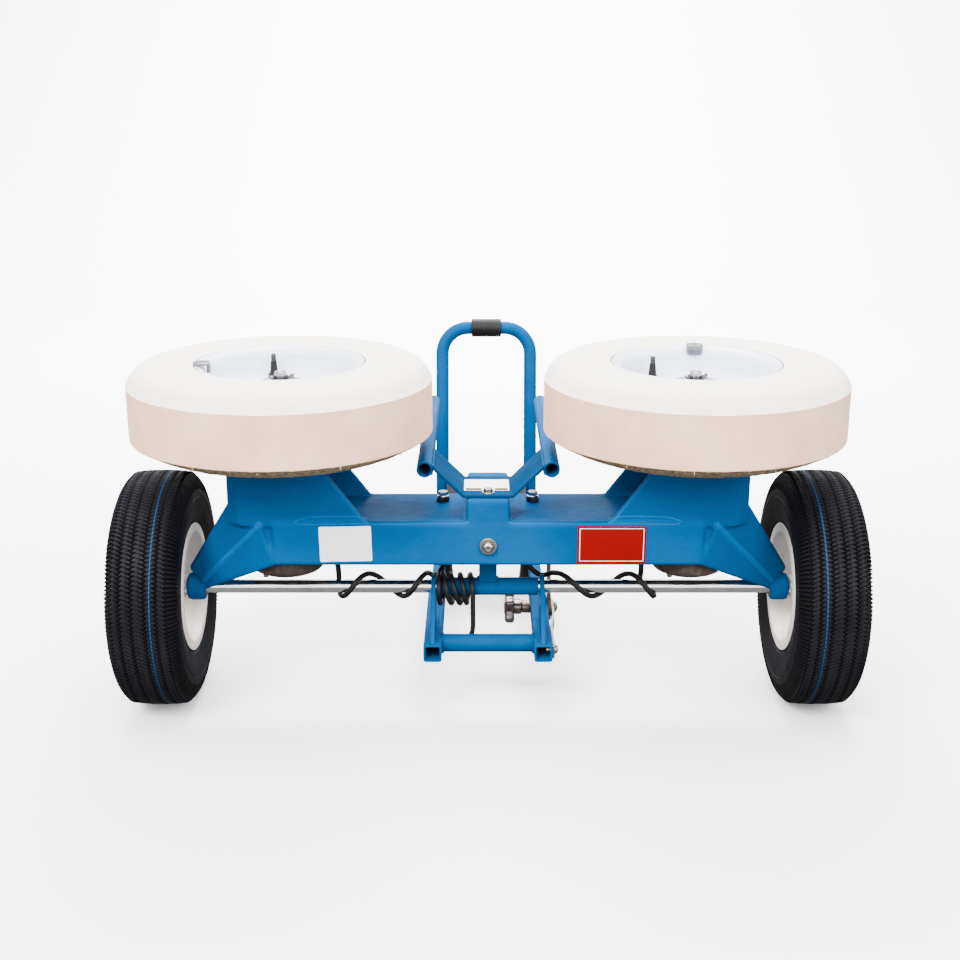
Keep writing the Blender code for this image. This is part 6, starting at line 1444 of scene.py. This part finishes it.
def stage_camera(p):
    """The camera at the photograph's place and slope."""
    lens = bpy.data.cameras.new("photo_camera")
    lens.lens = p.lens
    lens.sensor_width = 36.0
    camera = bpy.data.objects.new("photo_camera", lens)
    bpy.context.scene.collection.objects.link(camera)
    camera.location = Vector(p.eye) + Vector(AXLE_SHIFT)
    camera.rotation_euler = (math.pi / 2 - p.pitch, 0.0, 0.0)
    bpy.context.scene.camera = camera
    return camera


def build_stage(p):
    """Floor, lamps, sky and camera."""
    made = [stage_floor()]
    made += [stage_lamp(*lamp) for lamp in LAMPS]
    stage_sky()
    made.append(stage_camera(p))


# Operators, one for each group of pieces

class LAUNCHER_OT_finishes(bpy.types.Operator):
    """Makes every procedural finish"""
    bl_idname = "launcher.finishes"
    bl_label = "Finishes"
    bl_options = {"UNDO"}

    def execute(self, context):
        make_looks(context.scene.launcher)
        return {"FINISHED"}


class LAUNCHER_OT_stage(bpy.types.Operator):
    """Lays the pale floor and sets the lamps and the camera"""
    bl_idname = "launcher.stage"
    bl_label = "Stage"
    bl_options = {"UNDO"}

    def execute(self, context):
        build_stage(context.scene.launcher)
        return {"FINISHED"}


class LAUNCHER_OT_leads(bpy.types.Operator):
    """Lays the motor leads, the loose coil and the run to the box"""
    bl_idname = "launcher.leads"
    bl_label = "Leads"
    bl_options = {"UNDO"}

    def execute(self, context):
        build_leads()
        return {"FINISHED"}


class LAUNCHER_OT_casting(bpy.types.Operator):
    """Makes the cast beam with its bushes and beam bolts"""
    bl_idname = "launcher.casting"
    bl_label = "Head casting"
    bl_options = {"UNDO"}

    def execute(self, context):
        build_casting(context.scene.launcher)
        return {"FINISHED"}


class LAUNCHER_OT_pivot(bpy.types.Operator):
    """Makes the axle, the sleeve with its post and the pivot bolt"""
    bl_idname = "launcher.pivot"
    bl_label = "Pivot and axle"
    bl_options = {"UNDO"}

    def execute(self, context):
        build_pivot()
        return {"FINISHED"}


class LAUNCHER_OT_chute(bpy.types.Operator):
    """Makes the two chute tubes and their yoke"""
    bl_idname = "launcher.chute"
    bl_label = "Chute"
    bl_options = {"UNDO"}

    def execute(self, context):
        build_chute()
        return {"FINISHED"}


class LAUNCHER_OT_motors(bpy.types.Operator):
    """Makes the motors, their glands and the shaft bearings"""
    bl_idname = "launcher.motors"
    bl_label = "Motors"
    bl_options = {"UNDO"}

    def execute(self, context):
        build_motors()
        return {"FINISHED"}


class LAUNCHER_OT_throw_tyres(bpy.types.Operator):
    """Makes the cream tyres with their ground treads"""
    bl_idname = "launcher.throw_tyres"
    bl_label = "Throwing tyres"
    bl_options = {"UNDO"}

    def execute(self, context):
        build_throw_tyres()
        return {"FINISHED"}


class LAUNCHER_OT_throw_rims(bpy.types.Operator):
    """Makes the white rims with shafts, nuts, valves and weights"""
    bl_idname = "launcher.throw_rims"
    bl_label = "Throwing rims"
    bl_options = {"UNDO"}

    def execute(self, context):
        build_throw_rims()
        return {"FINISHED"}


class LAUNCHER_OT_wheel_tyres(bpy.types.Operator):
    """Makes the black tyres with their zigzag treads"""
    bl_idname = "launcher.wheel_tyres"
    bl_label = "Transport tyres"
    bl_options = {"UNDO"}

    def execute(self, context):
        build_wheel_tyres(context.scene.launcher)
        return {"FINISHED"}


class LAUNCHER_OT_wheel_rims(bpy.types.Operator):
    """Makes the off-white rims with hubs and valves"""
    bl_idname = "launcher.wheel_rims"
    bl_label = "Transport rims"
    bl_options = {"UNDO"}

    def execute(self, context):
        build_wheel_rims()
        return {"FINISHED"}


class LAUNCHER_OT_base_front(bpy.types.Operator):
    """Makes the rails, axle plates, cross tube and welds"""
    bl_idname = "launcher.base_front"
    bl_label = "Base front"
    bl_options = {"UNDO"}

    def execute(self, context):
        build_base_front()
        return {"FINISHED"}


class LAUNCHER_OT_clamp(bpy.types.Operator):
    """Makes the quadrant, strap, screw and knob"""
    bl_idname = "launcher.clamp"
    bl_label = "Tilt clamp"
    bl_options = {"UNDO"}

    def execute(self, context):
        build_clamp(context.scene.launcher)
        return {"FINISHED"}


class LAUNCHER_OT_rear_frame(bpy.types.Operator):
    """Makes the rear rails, the bent handle, the grip and the feet"""
    bl_idname = "launcher.rear_frame"
    bl_label = "Rear frame"
    bl_options = {"UNDO"}

    def execute(self, context):
        build_rear_frame()
        return {"FINISHED"}


class LAUNCHER_OT_control_box(bpy.types.Operator):
    """Makes the box, dials, switch and inlet"""
    bl_idname = "launcher.control_box"
    bl_label = "Control box"
    bl_options = {"UNDO"}

    def execute(self, context):
        build_control_box()
        return {"FINISHED"}


class LAUNCHER_OT_plates(bpy.types.Operator):
    """Makes the bare plates on the beam's front"""
    bl_idname = "launcher.plates"
    bl_label = "Bare plates"
    bl_options = {"UNDO"}

    def execute(self, context):
        build_plates()
        return {"FINISHED"}


OPERATORS = (
    LAUNCHER_OT_finishes,
    LAUNCHER_OT_stage,
    LAUNCHER_OT_leads,
    LAUNCHER_OT_casting,
    LAUNCHER_OT_pivot,
    LAUNCHER_OT_chute,
    LAUNCHER_OT_motors,
    LAUNCHER_OT_throw_tyres,
    LAUNCHER_OT_throw_rims,
    LAUNCHER_OT_wheel_tyres,
    LAUNCHER_OT_wheel_rims,
    LAUNCHER_OT_base_front,
    LAUNCHER_OT_clamp,
    LAUNCHER_OT_rear_frame,
    LAUNCHER_OT_control_box,
    LAUNCHER_OT_plates,
)


class LAUNCHER_PT_panel(bpy.types.Panel):
    """Settings of the launcher and a button for each group of pieces."""
    bl_idname = "LAUNCHER_PT_panel"
    bl_label = "Ball launcher"
    bl_space_type = "VIEW_3D"
    bl_region_type = "UI"
    bl_category = "Launcher"

    def draw(self, context):
        column = self.layout.column(align=True)
        for key in LauncherSettings.__annotations__:
            column.prop(context.scene.launcher, key)
        column.separator()
        for one in OPERATORS:
            column.operator(one.bl_idname)


CLASSES = (LauncherSettings, *OPERATORS, LAUNCHER_PT_panel)


def register():
    for one in CLASSES:
        bpy.utils.register_class(one)
    bpy.types.Scene.launcher = PointerProperty(type=LauncherSettings)


def unregister():
    del bpy.types.Scene.launcher
    for one in reversed(CLASSES):
        bpy.utils.unregister_class(one)


def main():
    register()
    for one in OPERATORS:
        group = one.bl_idname.split(".")[1]
        getattr(bpy.ops.launcher, group)()


if __name__ == "__main__":
    main()
